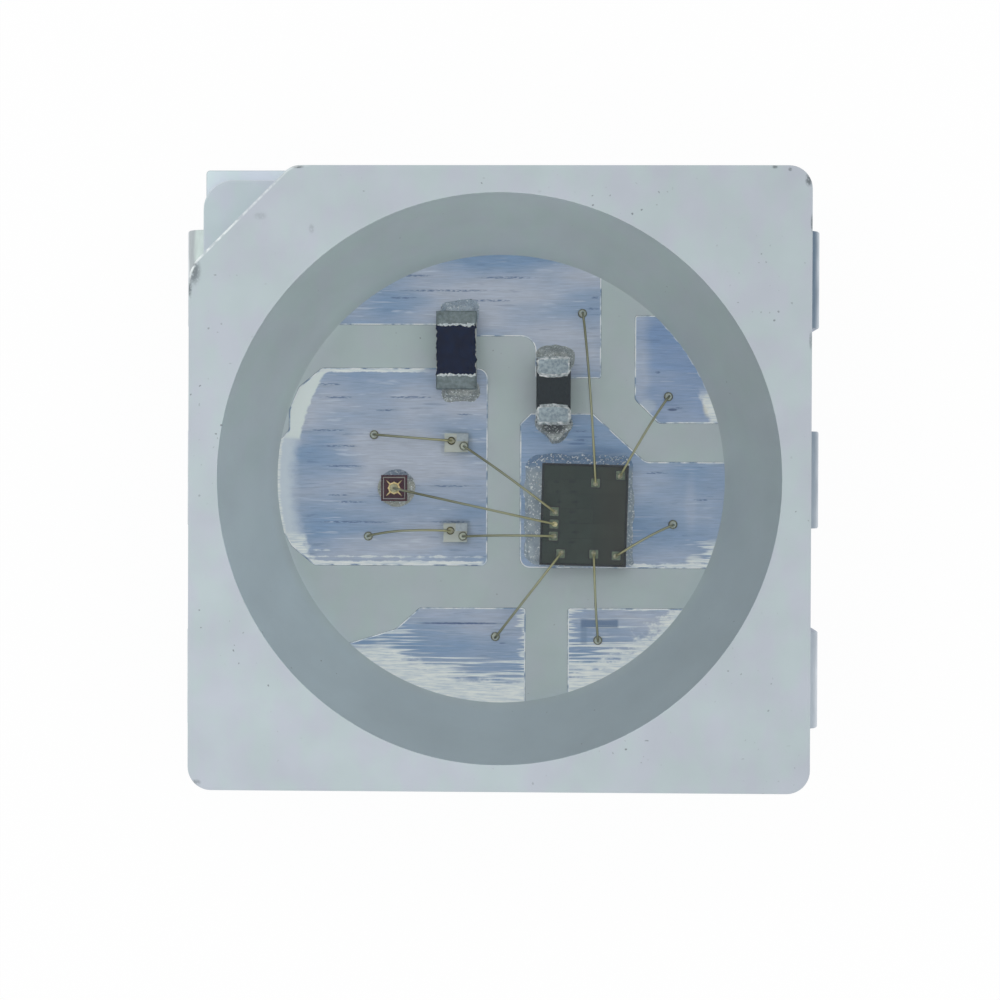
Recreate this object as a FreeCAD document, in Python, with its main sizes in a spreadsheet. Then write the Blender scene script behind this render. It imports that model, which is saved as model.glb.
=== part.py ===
"""Surface-mount LED, 5 mm square: three LED dies and a driver die under clear resin in a white body.

Frame: the seating plane is z = 0, +Z is up out of the lens, +X is towards the three right-hand
leads and +Y towards the cut corner's side. The origin is under the middle of the body. All sizes
are millimetres.
"""
import FreeCAD, Part
import math
import os

import Sketcher

from FreeCAD import Placement, Rotation, Vector

SIZES = {
    # moulded body
    "lower_length": 4.90,
    "lower_width": 5.08,
    "lower_draft": 3.0,
    "upper_length": 4.97,
    "upper_width": 5.00,
    "upper_draft": 1.0,
    "upper_round": 0.20,
    "edge_break": 0.025,
    "body_height": 1.60,
    "standoff": 0.03,
    # cut corner that marks the first lead, with the ledge left below it
    "index_chamfer": 0.82,
    "index_round": 0.22,
    "index_ledge": 0.95,
    "ledge_inset_x": 0.036,
    "ledge_inset_y": 0.057,
    # conical reflector
    "mouth_radius": 2.26,
    "floor_radius": 1.83,
    "meniscus": 0.04,
    # underside
    "gate_diameter": 0.70,
    "gate_depth": 0.05,
    "foot_side_gap": 0.03,
    "foot_top_gap": 0.01,
    # lead frame
    "frame_underside": 0.64,
    "metal_thickness": 0.13,
    "lead_width": 0.80,
    "lead_pitch": 1.65,
    "flank_gap": 0.04,
    "bend_radius": 0.04,
    "foot_length": 0.85,
    "neck_reach": 2.15,
    "neck_start": 1.90,
    # outlines of the six plates on the reflector floor
    "top_plate_right": 0.825,
    "top_plate_step_x": -0.36,
    "top_plate_step_y": 1.158,
    "top_plate_lobe_left": 0.272,
    "top_plate_lobe_low": 0.816,
    "top_plate_lobe_round": 0.11,
    "led_plate_left": -1.84,
    "led_plate_right": -0.10,
    "led_plate_high": 0.912,
    "led_plate_low": -0.72,
    "led_plate_round": 0.30,
    "led_plate_flat": 0.02,
    "led_plate_corner": 0.07,
    "driver_plate_left": 0.15,
    "driver_plate_high": 0.545,
    "driver_plate_low": -0.735,
    "driver_plate_corner": 0.09,
    "driver_plate_slope_x": 0.755,
    "driver_plate_slope_end": 1.185,
    "driver_plate_shoulder": 0.150,
    "upper_plate_left": 1.085,
    "upper_plate_high": 1.345,
    "upper_plate_low": 0.450,
    "upper_plate_corner": 0.20,
    "lower_left_plate_high": -1.050,
    "lower_left_plate_right": 0.215,
    "lower_left_plate_slope_x": -0.625,
    "lower_left_plate_slope_end": -0.92,
    "lower_left_plate_shoulder": -1.285,
    "lower_right_plate_left": 0.545,
    "lower_right_plate_high": -1.048,
    # red die: current runs through it, so it has one top electrode
    "red_x": -0.868,
    "red_y": -0.078,
    "red_side": 0.212,
    "red_height": 0.10,
    "red_attach_margin": 0.045,
    "red_attach_shift": 0.016,
    "star_reach": 0.082,
    "star_short_reach": 0.062,
    "star_waist": 0.034,
    # green and blue dies: both contacts are on top of the clear chip
    "green_x": -0.361,
    "green_y": 0.293,
    "blue_x": -0.367,
    "blue_y": -0.440,
    "clear_die_length": 0.205,
    "clear_die_width": 0.165,
    "clear_die_height": 0.09,
    "clear_attach_margin": 0.030,
    "contact_side": 0.058,
    "contact_outer_x": -0.040,
    "contact_outer_y": 0.016,
    "contact_inner_x": 0.062,
    "contact_inner_y": -0.028,
    # bond line and climb of the adhesive under the LED dies, and films on top of the dies
    "die_bond_line": 0.010,
    "attach_climb": 0.030,
    "attach_draft": 35.0,
    "attach_corner": 0.060,
    "film_thickness": 0.004,
    # driver die and its eight bond pads, placed from the middle of the die
    "driver_x": 0.682,
    "driver_y": -0.291,
    "driver_turn": -1.5,
    "driver_length": 0.703,
    "driver_width": 0.828,
    "driver_height": 0.18,
    "driver_attach_left": 0.150,
    "driver_attach_right": 0.130,
    "driver_attach_high": 0.120,
    "driver_attach_low": 0.025,
    "driver_attach_climb": 0.050,
    "driver_attach_draft": 45.0,
    "driver_attach_corner": 0.100,
    "bond_pad_side": 0.072,
    "pad_supply_u": 0.085,
    "pad_supply_v": 0.263,
    "pad_output_u": 0.285,
    "pad_output_v": 0.330,
    "pad_green_u": -0.242,
    "pad_green_v": 0.021,
    "pad_red_u": -0.242,
    "pad_red_v": -0.080,
    "pad_blue_u": -0.245,
    "pad_blue_v": -0.178,
    "pad_backup_u": -0.181,
    "pad_backup_v": -0.319,
    "pad_input_u": 0.088,
    "pad_input_v": -0.315,
    "pad_ground_u": 0.270,
    "pad_ground_v": -0.323,
    # gold bond wires, each from its ball on a plate or a die to its stitch
    "wire_diameter": 0.020,
    "ball_diameter": 0.064,
    "ball_height": 0.020,
    "loop_clearance": 0.090,
    "stitch_length": 0.050,
    "stitch_width": 0.040,
    "stitch_thickness": 0.012,
    "green_ball_x": -1.038,
    "green_ball_y": 0.358,
    "blue_ball_x": -1.083,
    "blue_ball_y": -0.473,
    "supply_ball_x": 0.663,
    "supply_ball_y": 1.353,
    "output_ball_x": 1.367,
    "output_ball_y": 0.676,
    "ground_ball_x": 1.408,
    "ground_ball_y": -0.367,
    "backup_ball_x": -0.039,
    "backup_ball_y": -1.291,
    "input_ball_x": 0.799,
    "input_ball_y": -1.317,
    # chip resistor
    "resistor_x": -0.360,
    "resistor_y": 1.044,
    "resistor_length": 0.633,
    "resistor_width": 0.325,
    "resistor_height": 0.23,
    "resistor_wrap": 0.125,
    "resistor_plating": 0.012,
    "coat_thickness": 0.018,
    # chip capacitor
    "capacitor_x": 0.430,
    "capacitor_y": 0.716,
    "capacitor_length": 0.552,
    "capacitor_width": 0.284,
    "capacitor_height": 0.28,
    "capacitor_wrap": 0.155,
    "capacitor_plating": 0.014,
    "capacitor_round": 0.030,
    # conductive adhesive that holds the two chip parts
    "chip_bond_line": 0.020,
    "joint_reach": 0.107,
    "joint_cover": 0.090,
    "joint_margin": 0.020,
    "joint_climb": 0.100,
    "joint_draft": 32.0,
    "joint_corner": 0.060,
    # how far a cutting profile runs past the face that it opens
    "cutter_margin": 0.20,
}

# Heights that several pieces share
FLOOR = "(Sizes.frame_underside + Sizes.metal_thickness)"
RED_TOP = f"({FLOOR} + Sizes.die_bond_line + Sizes.red_height)"
CLEAR_TOP = f"({FLOOR} + Sizes.die_bond_line + Sizes.clear_die_height)"
DRIVER_TOP = f"({FLOOR} + Sizes.die_bond_line + Sizes.driver_height)"
CHIP_SEAT = f"({FLOOR} + Sizes.chip_bond_line)"

# Outer face of a lead where it runs down the body's flank
LEAD_FACE = "(Sizes.lower_length / 2 + Sizes.flank_gap + Sizes.metal_thickness)"

# Two coordinates closer than this are taken as the same
LEAST = 1e-4

# How far draft may move a corner of the upper half from its place in the plan
DRAFT_REACH = 0.03

# Corners of the star electrode: points and waists take turns round the full circle
STAR_CORNERS = 16
FULL_TURN = 360

doc = FreeCAD.newDocument("smd_led")
sheet = doc.addObject("Spreadsheet::Sheet", "Sizes")


def fill_sheet():
    """One row for each size: its name, and the number under that alias."""
    for row, (name, number) in enumerate(SIZES.items(), start=1):
        sheet.set(f"A{row}", name)
        sheet.set(f"B{row}", str(number))
        sheet.setAlias(f"B{row}", name)
    doc.recompute()


def value(expression):
    """What an expression of sizes comes to."""
    return float(sheet.evalExpression(expression))


def new_body(name):
    body = doc.addObject("PartDesign::Body", name)
    body.Label = name
    return body


def new_sketch(body, name, plane="XY_Plane", offset="0"):
    """A sketch on one of the body's own planes, moved along that plane's normal."""
    sketch = body.newObject("Sketcher::SketchObject", name)
    origin_plane = next(feature for feature in body.Origin.OriginFeatures if feature.Role == plane)
    sketch.AttachmentSupport = [(origin_plane, "")]
    sketch.MapMode = "FlatFace"
    sketch.AttachmentOffset = Placement(Vector(0, 0, value(offset)), Rotation())
    sketch.setExpression("AttachmentOffset.Base.z", offset)
    return sketch


def bind(sketch, constraint, *place, size):
    """A dimension of the sketch that follows the sheet."""
    index = sketch.addConstraint(Sketcher.Constraint(constraint, *place, value(size)))
    sketch.setExpression(f"Constraints[{index}]", size)


def pin_point(sketch, line, end, x, y):
    bind(sketch, "DistanceX", -1, 1, line, end, size=x)
    bind(sketch, "DistanceY", -1, 1, line, end, size=y)


def draw_outline(sketch, corners):
    """Closed outline through corners, each given as the expressions of its two coordinates."""
    points = [Vector(value(x), value(y), 0) for x, y in corners]
    first = sketch.GeometryCount
    count = len(corners)
    for index in range(count):
        sketch.addGeometry(Part.LineSegment(points[index], points[(index + 1) % count]), False)
    for index, (x, y) in enumerate(corners):
        following = first + (index + 1) % count
        sketch.addConstraint(Sketcher.Constraint("Coincident", first + index, 2, following, 1))
        pin_point(sketch, first + index, 1, x, y)


def draw_rectangle(sketch, low_x, low_y, high_x, high_y):
    draw_outline(sketch, [(low_x, low_y), (high_x, low_y), (high_x, high_y), (low_x, high_y)])


def draw_centred_rectangle(sketch, length, width):
    draw_rectangle(sketch, f"-({length}) / 2", f"-({width}) / 2", f"({length}) / 2", f"({width}) / 2")


def draw_circle(sketch, diameter):
    """Circle about the sketch's origin."""
    circle = sketch.addGeometry(Part.Circle(Vector(0, 0, 0), Vector(0, 0, 1), value(diameter) / 2), False)
    sketch.addConstraint(Sketcher.Constraint("Coincident", circle, 3, -1, 1))
    bind(sketch, "Diameter", circle, size=diameter)


def add_pad(body, name, sketch, length, down=False, draft=None, symmetric=False):
    pad = body.newObject("PartDesign::Pad", name)
    pad.Profile = sketch
    pad.setExpression("Length", length)
    pad.Reversed = down
    if symmetric:
        pad.SideType = "Symmetric"
    if draft is not None:
        pad.setExpression("TaperAngle", draft)
    doc.recompute()
    return pad


def add_pocket(body, name, sketch, depth, up=False):
    """Cut from the sketch's plane downwards, or upwards into an underside."""
    before = body.Shape.Volume
    pocket = body.newObject("PartDesign::Pocket", name)
    pocket.Profile = sketch
    pocket.setExpression("Length", depth)
    pocket.Reversed = up
    doc.recompute()
    if body.Shape.Volume >= before:
        raise ValueError(f"{name} cuts nothing")
    return pocket


def add_fillet(body, name, edges, radius):
    """Round the named edges of the body's last feature."""
    if not edges:
        raise ValueError(f"{name} finds no edge")
    rounded = body.Tip
    fillet = body.newObject("PartDesign::Fillet", name)
    fillet.Base = (rounded, edges)
    fillet.setExpression("Radius", radius)
    doc.recompute()
    if "Invalid" in fillet.State:
        raise ValueError(f"{name} can't be rounded")


def add_edge_break(body, name, edges, size):
    """A small chamfer on the named edges of the body's last feature."""
    broken = body.Tip
    chamfer = body.newObject("PartDesign::Chamfer", name)
    chamfer.Base = (broken, edges)
    chamfer.setExpression("Size", size)
    doc.recompute()
    if "Invalid" in chamfer.State:
        raise ValueError(f"{name} can't be made")


def turn_profile(body, name, kind, sketch):
    """Turn a profile right round the vertical, as a Revolution or a Groove."""
    turned = body.newObject(f"PartDesign::{kind}", name)
    turned.Profile = sketch
    turned.ReferenceAxis = (sketch, ["V_Axis"])
    turned.Angle = FULL_TURN
    doc.recompute()
    return turned


def edges_where(body, wanted):
    """Names of the body's edges for which the test holds."""
    return [f"Edge{index}" for index, edge in enumerate(body.Shape.Edges, start=1) if wanted(edge)]


def edges_through(body, corners, axes, reach=LEAST):
    """Edges that run square to two axes, through corners given as expressions, within reach of them."""
    spots = [(value(first), value(second)) for first, second in corners]

    def away(point, spot):
        return math.hypot(getattr(point, axes[0]) - spot[0], getattr(point, axes[1]) - spot[1])

    def runs_through(edge):
        if edge.Length < 2 * reach:
            return False
        ends = (edge.Vertexes[0].Point, edge.Vertexes[-1].Point)
        return any(max(away(end, spot) for end in ends) < reach for spot in spots)

    return edges_where(body, runs_through)


def add_cut(name, base, tool):
    cut = doc.addObject("Part::Cut", name)
    cut.Label = name
    cut.Base = base
    cut.Tool = tool
    doc.recompute()
    return cut


def add_compound(name, members):
    compound = doc.addObject("Part::Compound", name)
    compound.Label = name
    compound.Links = members
    doc.recompute()
    return compound


def place(item, x, y, z, turn=None):
    """Bind where a piece sits, and how far it is turned about the vertical."""
    angle = 0.0 if turn is None else value(turn)
    item.Placement = Placement(Vector(value(x), value(y), value(z)), Rotation(Vector(0, 0, 1), angle))
    item.setExpression("Placement.Base.x", x)
    item.setExpression("Placement.Base.y", y)
    item.setExpression("Placement.Base.z", z)
    if turn is not None:
        item.setExpression("Placement.Rotation.Angle", turn)


def make_block(name, length, width, height, x, y, z, turn=None):
    """A sawn block, centred on its place and standing on it."""
    body = new_body(name)
    plan = new_sketch(body, f"{name}_plan")
    draw_centred_rectangle(plan, length, width)
    add_pad(body, f"{name}_block", plan, height)
    place(body, x, y, z, turn)
    doc.recompute()
    return body


def make_lead(name, side, row, plate, rounds):
    """One formed lead: its plate on the reflector floor, its neck through the wall, and its foot.

    side is -1 or 1 and row counts pitches from the middle. plate lists the corners of the plate,
    which starts and ends at the neck, and rounds pairs lists of its corners with their radii.
    """
    body = new_body(name)
    middle = f"{row} * Sizes.lead_pitch"
    face = f"{side} * {LEAD_FACE}"
    inner_face = f"{side} * ({LEAD_FACE} - Sizes.metal_thickness)"
    toe = f"{side} * ({LEAD_FACE} - Sizes.foot_length)"
    neck = f"{side} * Sizes.neck_start"
    strip = new_sketch(body, f"{name}_strip", "XZ_Plane", f"-({middle})")
    draw_outline(strip, [
        (neck, "Sizes.frame_underside"),
        (inner_face, "Sizes.frame_underside"),
        (inner_face, "Sizes.metal_thickness"),
        (toe, "Sizes.metal_thickness"),
        (toe, "0"),
        (face, "0"),
        (face, FLOOR),
        (neck, FLOOR),
    ])
    add_pad(body, f"{name}_strip_pad", strip, "Sizes.lead_width", symmetric=True)

    inside = [(inner_face, "Sizes.frame_underside"), (inner_face, "Sizes.metal_thickness")]
    outside = [(face, FLOOR), (face, "0")]
    add_fillet(body, f"{name}_inner_bends", edges_through(body, inside, "xz"), "Sizes.bend_radius")
    add_fillet(body, f"{name}_outer_bends", edges_through(body, outside, "xz"),
               "Sizes.bend_radius + Sizes.metal_thickness")

    neck_end = f"{side} * Sizes.neck_reach"
    low_side = f"{middle} - Sizes.lead_width / 2"
    high_side = f"{middle} + Sizes.lead_width / 2"
    outline = new_sketch(body, f"{name}_plate_outline", offset="Sizes.frame_underside")
    draw_outline(outline, [(neck_end, low_side)] + plate + [(neck_end, high_side)])
    add_pad(body, f"{name}_plate", outline, "Sizes.metal_thickness")
    for number, (corners, radius) in enumerate(rounds, start=1):
        add_fillet(body, f"{name}_round_{number}", edges_through(body, corners, "xy"), radius)
    return body


def make_leads():
    """The six leads, cut from one strip and bent down both flanks."""
    neck_left = "-Sizes.neck_start"
    neck_right = "Sizes.neck_start"
    half = "Sizes.lead_width / 2"
    upper_low, upper_high = f"Sizes.lead_pitch - {half}", f"Sizes.lead_pitch + {half}"
    lower_low, lower_high = f"-Sizes.lead_pitch - {half}", f"-Sizes.lead_pitch + {half}"
    step_end = "Sizes.top_plate_step_x + (Sizes.lead_pitch - Sizes.lead_width / 2 - Sizes.top_plate_step_y)"
    lobe_top = ("Sizes.top_plate_lobe_left", "Sizes.top_plate_step_y")
    upper_left = make_lead("lead_upper_left", -1, 1, [
        ("Sizes.top_plate_step_x", upper_low),
        (step_end, "Sizes.top_plate_step_y"),
        lobe_top,
        ("Sizes.top_plate_lobe_left", "Sizes.top_plate_lobe_low"),
        ("Sizes.top_plate_right", "Sizes.top_plate_lobe_low"),
        ("Sizes.top_plate_right", upper_high),
    ], [([lobe_top], "Sizes.top_plate_lobe_round")])

    led_corners = [
        ("Sizes.led_plate_left", "Sizes.led_plate_low"),
        ("Sizes.led_plate_right", "Sizes.led_plate_low"),
        ("Sizes.led_plate_right", "Sizes.led_plate_high"),
        ("Sizes.led_plate_left", "Sizes.led_plate_high"),
    ]
    middle_left = make_lead("lead_middle_left", -1, 0, [
        ("Sizes.led_plate_left", f"-{half}"), *led_corners, ("Sizes.led_plate_left", half),
    ], [
        ([led_corners[0]], f"-Sizes.led_plate_low - {half} - Sizes.led_plate_flat"),
        ([led_corners[3]], "Sizes.led_plate_round"),
        ([led_corners[1], led_corners[2]], "Sizes.led_plate_corner"),
    ])

    lower_left = make_lead("lead_lower_left", -1, -1, [
        ("Sizes.lower_left_plate_right", lower_low),
        ("Sizes.lower_left_plate_right", "Sizes.lower_left_plate_high"),
        ("Sizes.lower_left_plate_slope_x", "Sizes.lower_left_plate_high"),
        ("Sizes.lower_left_plate_slope_end", "Sizes.lower_left_plate_shoulder"),
        (neck_left, "Sizes.lower_left_plate_shoulder"),
        (neck_left, lower_high),
    ], [])

    upper_right = make_lead("lead_upper_right", 1, 1, [
        (neck_right, upper_low),
        (neck_right, "Sizes.upper_plate_low"),
        ("Sizes.upper_plate_left + Sizes.upper_plate_corner", "Sizes.upper_plate_low"),
        ("Sizes.upper_plate_left", "Sizes.upper_plate_low + Sizes.upper_plate_corner"),
        ("Sizes.upper_plate_left", "Sizes.upper_plate_high"),
        ("Sizes.neck_start - Sizes.lead_width / 2", "Sizes.upper_plate_high"),
        ("Sizes.neck_start - Sizes.lead_width / 2", upper_high),
    ], [])

    driver_corner_x = "Sizes.driver_plate_left + Sizes.driver_plate_corner"
    middle_right = make_lead("lead_middle_right", 1, 0, [
        (neck_right, f"-{half}"),
        (neck_right, "Sizes.driver_plate_low"),
        ("Sizes.driver_plate_left", "Sizes.driver_plate_low"),
        ("Sizes.driver_plate_left", "Sizes.driver_plate_high - Sizes.driver_plate_corner"),
        (driver_corner_x, "Sizes.driver_plate_high"),
        ("Sizes.driver_plate_slope_x", "Sizes.driver_plate_high"),
        ("Sizes.driver_plate_slope_end", "Sizes.driver_plate_shoulder"),
        (neck_right, "Sizes.driver_plate_shoulder"),
        (neck_right, half),
    ], [([("Sizes.driver_plate_left", "Sizes.driver_plate_low")], "Sizes.led_plate_corner")])

    lower_right = make_lead("lead_lower_right", 1, -1, [
        ("Sizes.lower_right_plate_left", lower_low),
        ("Sizes.lower_right_plate_left", "Sizes.lower_right_plate_high"),
        (neck_right, "Sizes.lower_right_plate_high"),
        (neck_right, lower_high),
    ], [])
    return [upper_left, middle_left, lower_left, upper_right, middle_right, lower_right]


def round_slanted_corners(body, name, radius):
    """Round the four edges that climb the corners of a tapered block."""
    climbing = edges_where(body, lambda edge: edge.BoundBox.ZLength > LEAST)
    add_fillet(body, name, climbing, radius)


def make_housing(leads):
    """White moulded body: square lower half, rounded upper half, cut corner, reflector and foot wells."""
    body = new_body("housing_block")
    half_x, half_y = "Sizes.upper_length / 2", "Sizes.upper_width / 2"
    upper = new_sketch(body, "upper_half_plan", offset=FLOOR)
    draw_centred_rectangle(upper, "Sizes.upper_length", "Sizes.upper_width")
    add_pad(body, "upper_half", upper, f"Sizes.body_height - {FLOOR}", draft="-Sizes.upper_draft")
    round_slanted_corners(body, "upper_corners", "Sizes.upper_round")
    top = value("Sizes.body_height")
    rim = edges_where(body, lambda edge: edge.BoundBox.ZMin > top - LEAST)
    add_edge_break(body, "top_edges", rim, "Sizes.edge_break")
    lower = new_sketch(body, "lower_half_plan", offset=FLOOR)
    draw_centred_rectangle(lower, "Sizes.lower_length", "Sizes.lower_width")
    add_pad(body, "lower_half", lower, f"{FLOOR} - Sizes.standoff", down=True, draft="-Sizes.lower_draft")

    past = "Sizes.cutter_margin"
    notch = new_sketch(body, "index_notch_plan", offset="Sizes.body_height")
    draw_outline(notch, [
        (f"-{half_x} - {past}", f"{half_y} - Sizes.index_chamfer - {past}"),
        (f"-{half_x} + Sizes.index_chamfer + {past}", f"{half_y} + {past}"),
        (f"-{half_x} - {past}", f"{half_y} + {past}"),
    ])
    add_pocket(body, "index_notch", notch, "Sizes.body_height - Sizes.index_ledge")
    notch_ends = [
        (f"-{half_x}", f"{half_y} - Sizes.index_chamfer"),
        (f"-{half_x} + Sizes.index_chamfer", half_y),
    ]
    add_fillet(body, "notch_ends", edges_through(body, notch_ends, "xy", DRAFT_REACH), "Sizes.index_round")
    step = new_sketch(body, "ledge_step_plan", offset="Sizes.index_ledge")
    ledge_left = f"-{half_x} + Sizes.ledge_inset_x"
    ledge_low = f"{half_y} - Sizes.index_chamfer + Sizes.ledge_inset_x"
    ledge_right = f"-{half_x} + Sizes.index_chamfer - Sizes.ledge_inset_y"
    ledge_high = f"{half_y} - Sizes.ledge_inset_y"
    draw_outline(step, [
        (f"-{half_x} - {past}", ledge_low),
        (ledge_left, ledge_low),
        (ledge_left, ledge_high),
        (ledge_right, ledge_high),
        (ledge_right, f"{half_y} + {past}"),
        (f"-{half_x} - {past}", f"{half_y} + {past}"),
    ])
    add_pocket(body, "ledge_step", step, f"Sizes.index_ledge - {FLOOR}")

    profile = new_sketch(body, "reflector_profile", "XZ_Plane")
    draw_outline(profile, [
        ("0", FLOOR),
        ("Sizes.floor_radius", FLOOR),
        ("Sizes.mouth_radius", "Sizes.body_height"),
        ("0", "Sizes.body_height"),
    ])
    before = body.Shape.Volume
    turn_profile(body, "reflector", "Groove", profile)
    if body.Shape.Volume >= before:
        raise ValueError("reflector cuts nothing")

    wells = new_sketch(body, "foot_wells_plan", offset="Sizes.standoff")
    near = f"({LEAD_FACE} - Sizes.foot_length - Sizes.foot_side_gap)"
    far = f"({LEAD_FACE} + {past})"
    for side in (-1, 1):
        for row in (-1, 0, 1):
            low = f"{row} * Sizes.lead_pitch - Sizes.lead_width / 2 - Sizes.foot_side_gap"
            high = f"{row} * Sizes.lead_pitch + Sizes.lead_width / 2 + Sizes.foot_side_gap"
            draw_rectangle(wells, f"{side} * {near}", low, f"{side} * {far}", high)
    add_pocket(body, "foot_wells", wells,
               "Sizes.metal_thickness + Sizes.foot_top_gap - Sizes.standoff", up=True)
    gate = new_sketch(body, "gate_plan", offset="Sizes.standoff")
    draw_circle(gate, "Sizes.gate_diameter")
    add_pocket(body, "gate_mark", gate, "Sizes.gate_depth", up=True)

    return add_cut("housing", body, add_compound("lead_set", leads))


def make_mound(name, low, high, corner, climb, draft, centre, turn=None):
    """Adhesive squeezed out on the floor: an outline with cut corners that narrows as it climbs."""
    (left, near), (right, far) = low, high
    bed = new_body(name)
    plan = new_sketch(bed, f"{name}_plan")
    draw_outline(plan, [
        (f"{left} + {corner}", near),
        (f"{right} - {corner}", near),
        (right, f"{near} + {corner}"),
        (right, f"{far} - {corner}"),
        (f"{right} - {corner}", far),
        (f"{left} + {corner}", far),
        (left, f"{far} - {corner}"),
        (left, f"{near} + {corner}"),
    ])
    add_pad(bed, f"{name}_pad", plan, climb, draft=f"-{draft}")
    place(bed, *centre, FLOOR, turn)
    return bed


def make_red_die():
    """Red die with its star electrode, on a ring of silver-filled adhesive."""
    die_floor = f"{FLOOR} + Sizes.die_bond_line"
    die = make_block("red_die", "Sizes.red_side", "Sizes.red_side", "Sizes.red_height",
                     "Sizes.red_x", "Sizes.red_y", die_floor)
    reach = "(Sizes.red_side / 2 + Sizes.red_attach_margin)"
    mound = make_mound("red_attach_mound", (f"-{reach}", f"-{reach}"), (reach, reach), "Sizes.attach_corner",
                       "Sizes.attach_climb", "Sizes.attach_draft",
                       ("Sizes.red_x + Sizes.red_attach_shift", "Sizes.red_y"))
    attach = add_cut("red_die_attach", mound, die)
    electrode = new_body("red_die_electrode")
    star = new_sketch(electrode, "star_outline")
    corners = []
    reaches = ("Sizes.star_short_reach", "Sizes.star_waist", "Sizes.star_reach", "Sizes.star_waist")
    for corner in range(STAR_CORNERS):
        reach = reaches[corner % len(reaches)]
        turn = FULL_TURN * corner / STAR_CORNERS
        corners.append((f"{reach} * cos({turn})", f"{reach} * sin({turn})"))
    draw_outline(star, corners)
    add_pad(electrode, "star_film", star, "Sizes.film_thickness")
    place(electrode, "Sizes.red_x", "Sizes.red_y", RED_TOP)
    return [die, electrode, attach]


def make_clear_die(colour):
    """Green or blue die: a clear chip with two contacts on top, on clear adhesive."""
    x, y = f"Sizes.{colour}_x", f"Sizes.{colour}_y"
    die = make_block(f"{colour}_die", "Sizes.clear_die_length", "Sizes.clear_die_width",
                     "Sizes.clear_die_height", x, y, f"{FLOOR} + Sizes.die_bond_line")
    reach_x = "(Sizes.clear_die_length / 2 + Sizes.clear_attach_margin)"
    reach_y = "(Sizes.clear_die_width / 2 + Sizes.clear_attach_margin)"
    mound = make_mound(f"{colour}_attach_mound", (f"-{reach_x}", f"-{reach_y}"), (reach_x, reach_y),
                       "Sizes.attach_corner", "Sizes.attach_climb", "Sizes.attach_draft", (x, y))
    attach = add_cut(f"{colour}_die_attach", mound, die)
    films = []
    for contact in ("outer", "inner"):
        films.append(make_block(
            f"{colour}_{contact}_contact", "Sizes.contact_side", "Sizes.contact_side", "Sizes.film_thickness",
            f"{x} + Sizes.contact_{contact}_x", f"{y} + Sizes.contact_{contact}_y", CLEAR_TOP))
    contacts = add_compound(f"{colour}_die_contacts", films)
    return [die, contacts, attach]


BOND_PADS = ("supply", "output", "green", "red", "blue", "backup", "input", "ground")


def bond_pad_place(pad):
    """Where a bond pad lies once the driver die is placed and turned."""
    u, v = f"Sizes.pad_{pad}_u", f"Sizes.pad_{pad}_v"
    x = f"Sizes.driver_x + {u} * cos(Sizes.driver_turn) - {v} * sin(Sizes.driver_turn)"
    y = f"Sizes.driver_y + {u} * sin(Sizes.driver_turn) + {v} * cos(Sizes.driver_turn)"
    return x, y


def make_driver():
    """Driver die with eight bond pads, in a bed of silver-filled adhesive."""
    die = make_block("driver_die", "Sizes.driver_length", "Sizes.driver_width", "Sizes.driver_height",
                     "Sizes.driver_x", "Sizes.driver_y", f"{FLOOR} + Sizes.die_bond_line", "Sizes.driver_turn")
    films = []
    for pad in BOND_PADS:
        x, y = bond_pad_place(pad)
        films.append(make_block(f"{pad}_bond_pad", "Sizes.bond_pad_side", "Sizes.bond_pad_side",
                                "Sizes.film_thickness", x, y, DRIVER_TOP, "Sizes.driver_turn"))
    pads = add_compound("driver_bond_pads", films)

    low = ("-(Sizes.driver_length / 2 + Sizes.driver_attach_left)",
           "-(Sizes.driver_width / 2 + Sizes.driver_attach_low)")
    high = ("(Sizes.driver_length / 2 + Sizes.driver_attach_right)",
            "(Sizes.driver_width / 2 + Sizes.driver_attach_high)")
    bed = make_mound("driver_attach_bed", low, high, "Sizes.driver_attach_corner",
                     "Sizes.driver_attach_climb", "Sizes.driver_attach_draft",
                     ("Sizes.driver_x", "Sizes.driver_y"), "Sizes.driver_turn")
    attach = add_cut("driver_die_attach", bed, die)
    return [die, pads, attach]


def make_resistor():
    """Chip resistor: ceramic block, dark coat over the resistive film, and two wrapped terminals."""
    x, y = "Sizes.resistor_x", "Sizes.resistor_y"
    plating = "Sizes.resistor_plating"
    core = make_block("resistor_body", "Sizes.resistor_width", f"Sizes.resistor_length - 2 * {plating}",
                      f"Sizes.resistor_height - 2 * {plating}", x, y, f"{CHIP_SEAT} + {plating}")
    coat = make_block("resistor_coat", "Sizes.resistor_width - Sizes.coat_thickness",
                      "Sizes.resistor_length - 2 * Sizes.resistor_wrap", "Sizes.coat_thickness",
                      x, y, f"{CHIP_SEAT} + Sizes.resistor_height - {plating}")
    terminals = []
    for name, end in (("resistor_terminal_upper", 1), ("resistor_terminal_lower", -1)):
        body = new_body(name)
        section = new_sketch(body, f"{name}_section", "YZ_Plane")
        tip = f"{end} * Sizes.resistor_length / 2"
        inner_tip = f"{end} * (Sizes.resistor_length / 2 - {plating})"
        wrap = f"{end} * (Sizes.resistor_length / 2 - Sizes.resistor_wrap)"
        draw_outline(section, [
            (wrap, "0"),
            (tip, "0"),
            (tip, "Sizes.resistor_height"),
            (wrap, "Sizes.resistor_height"),
            (wrap, f"Sizes.resistor_height - {plating}"),
            (inner_tip, f"Sizes.resistor_height - {plating}"),
            (inner_tip, plating),
            (wrap, plating),
        ])
        add_pad(body, f"{name}_wrap", section, "Sizes.resistor_width", symmetric=True)
        place(body, x, y, CHIP_SEAT)
        terminals.append(body)
    doc.recompute()
    return [core, coat] + terminals


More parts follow.
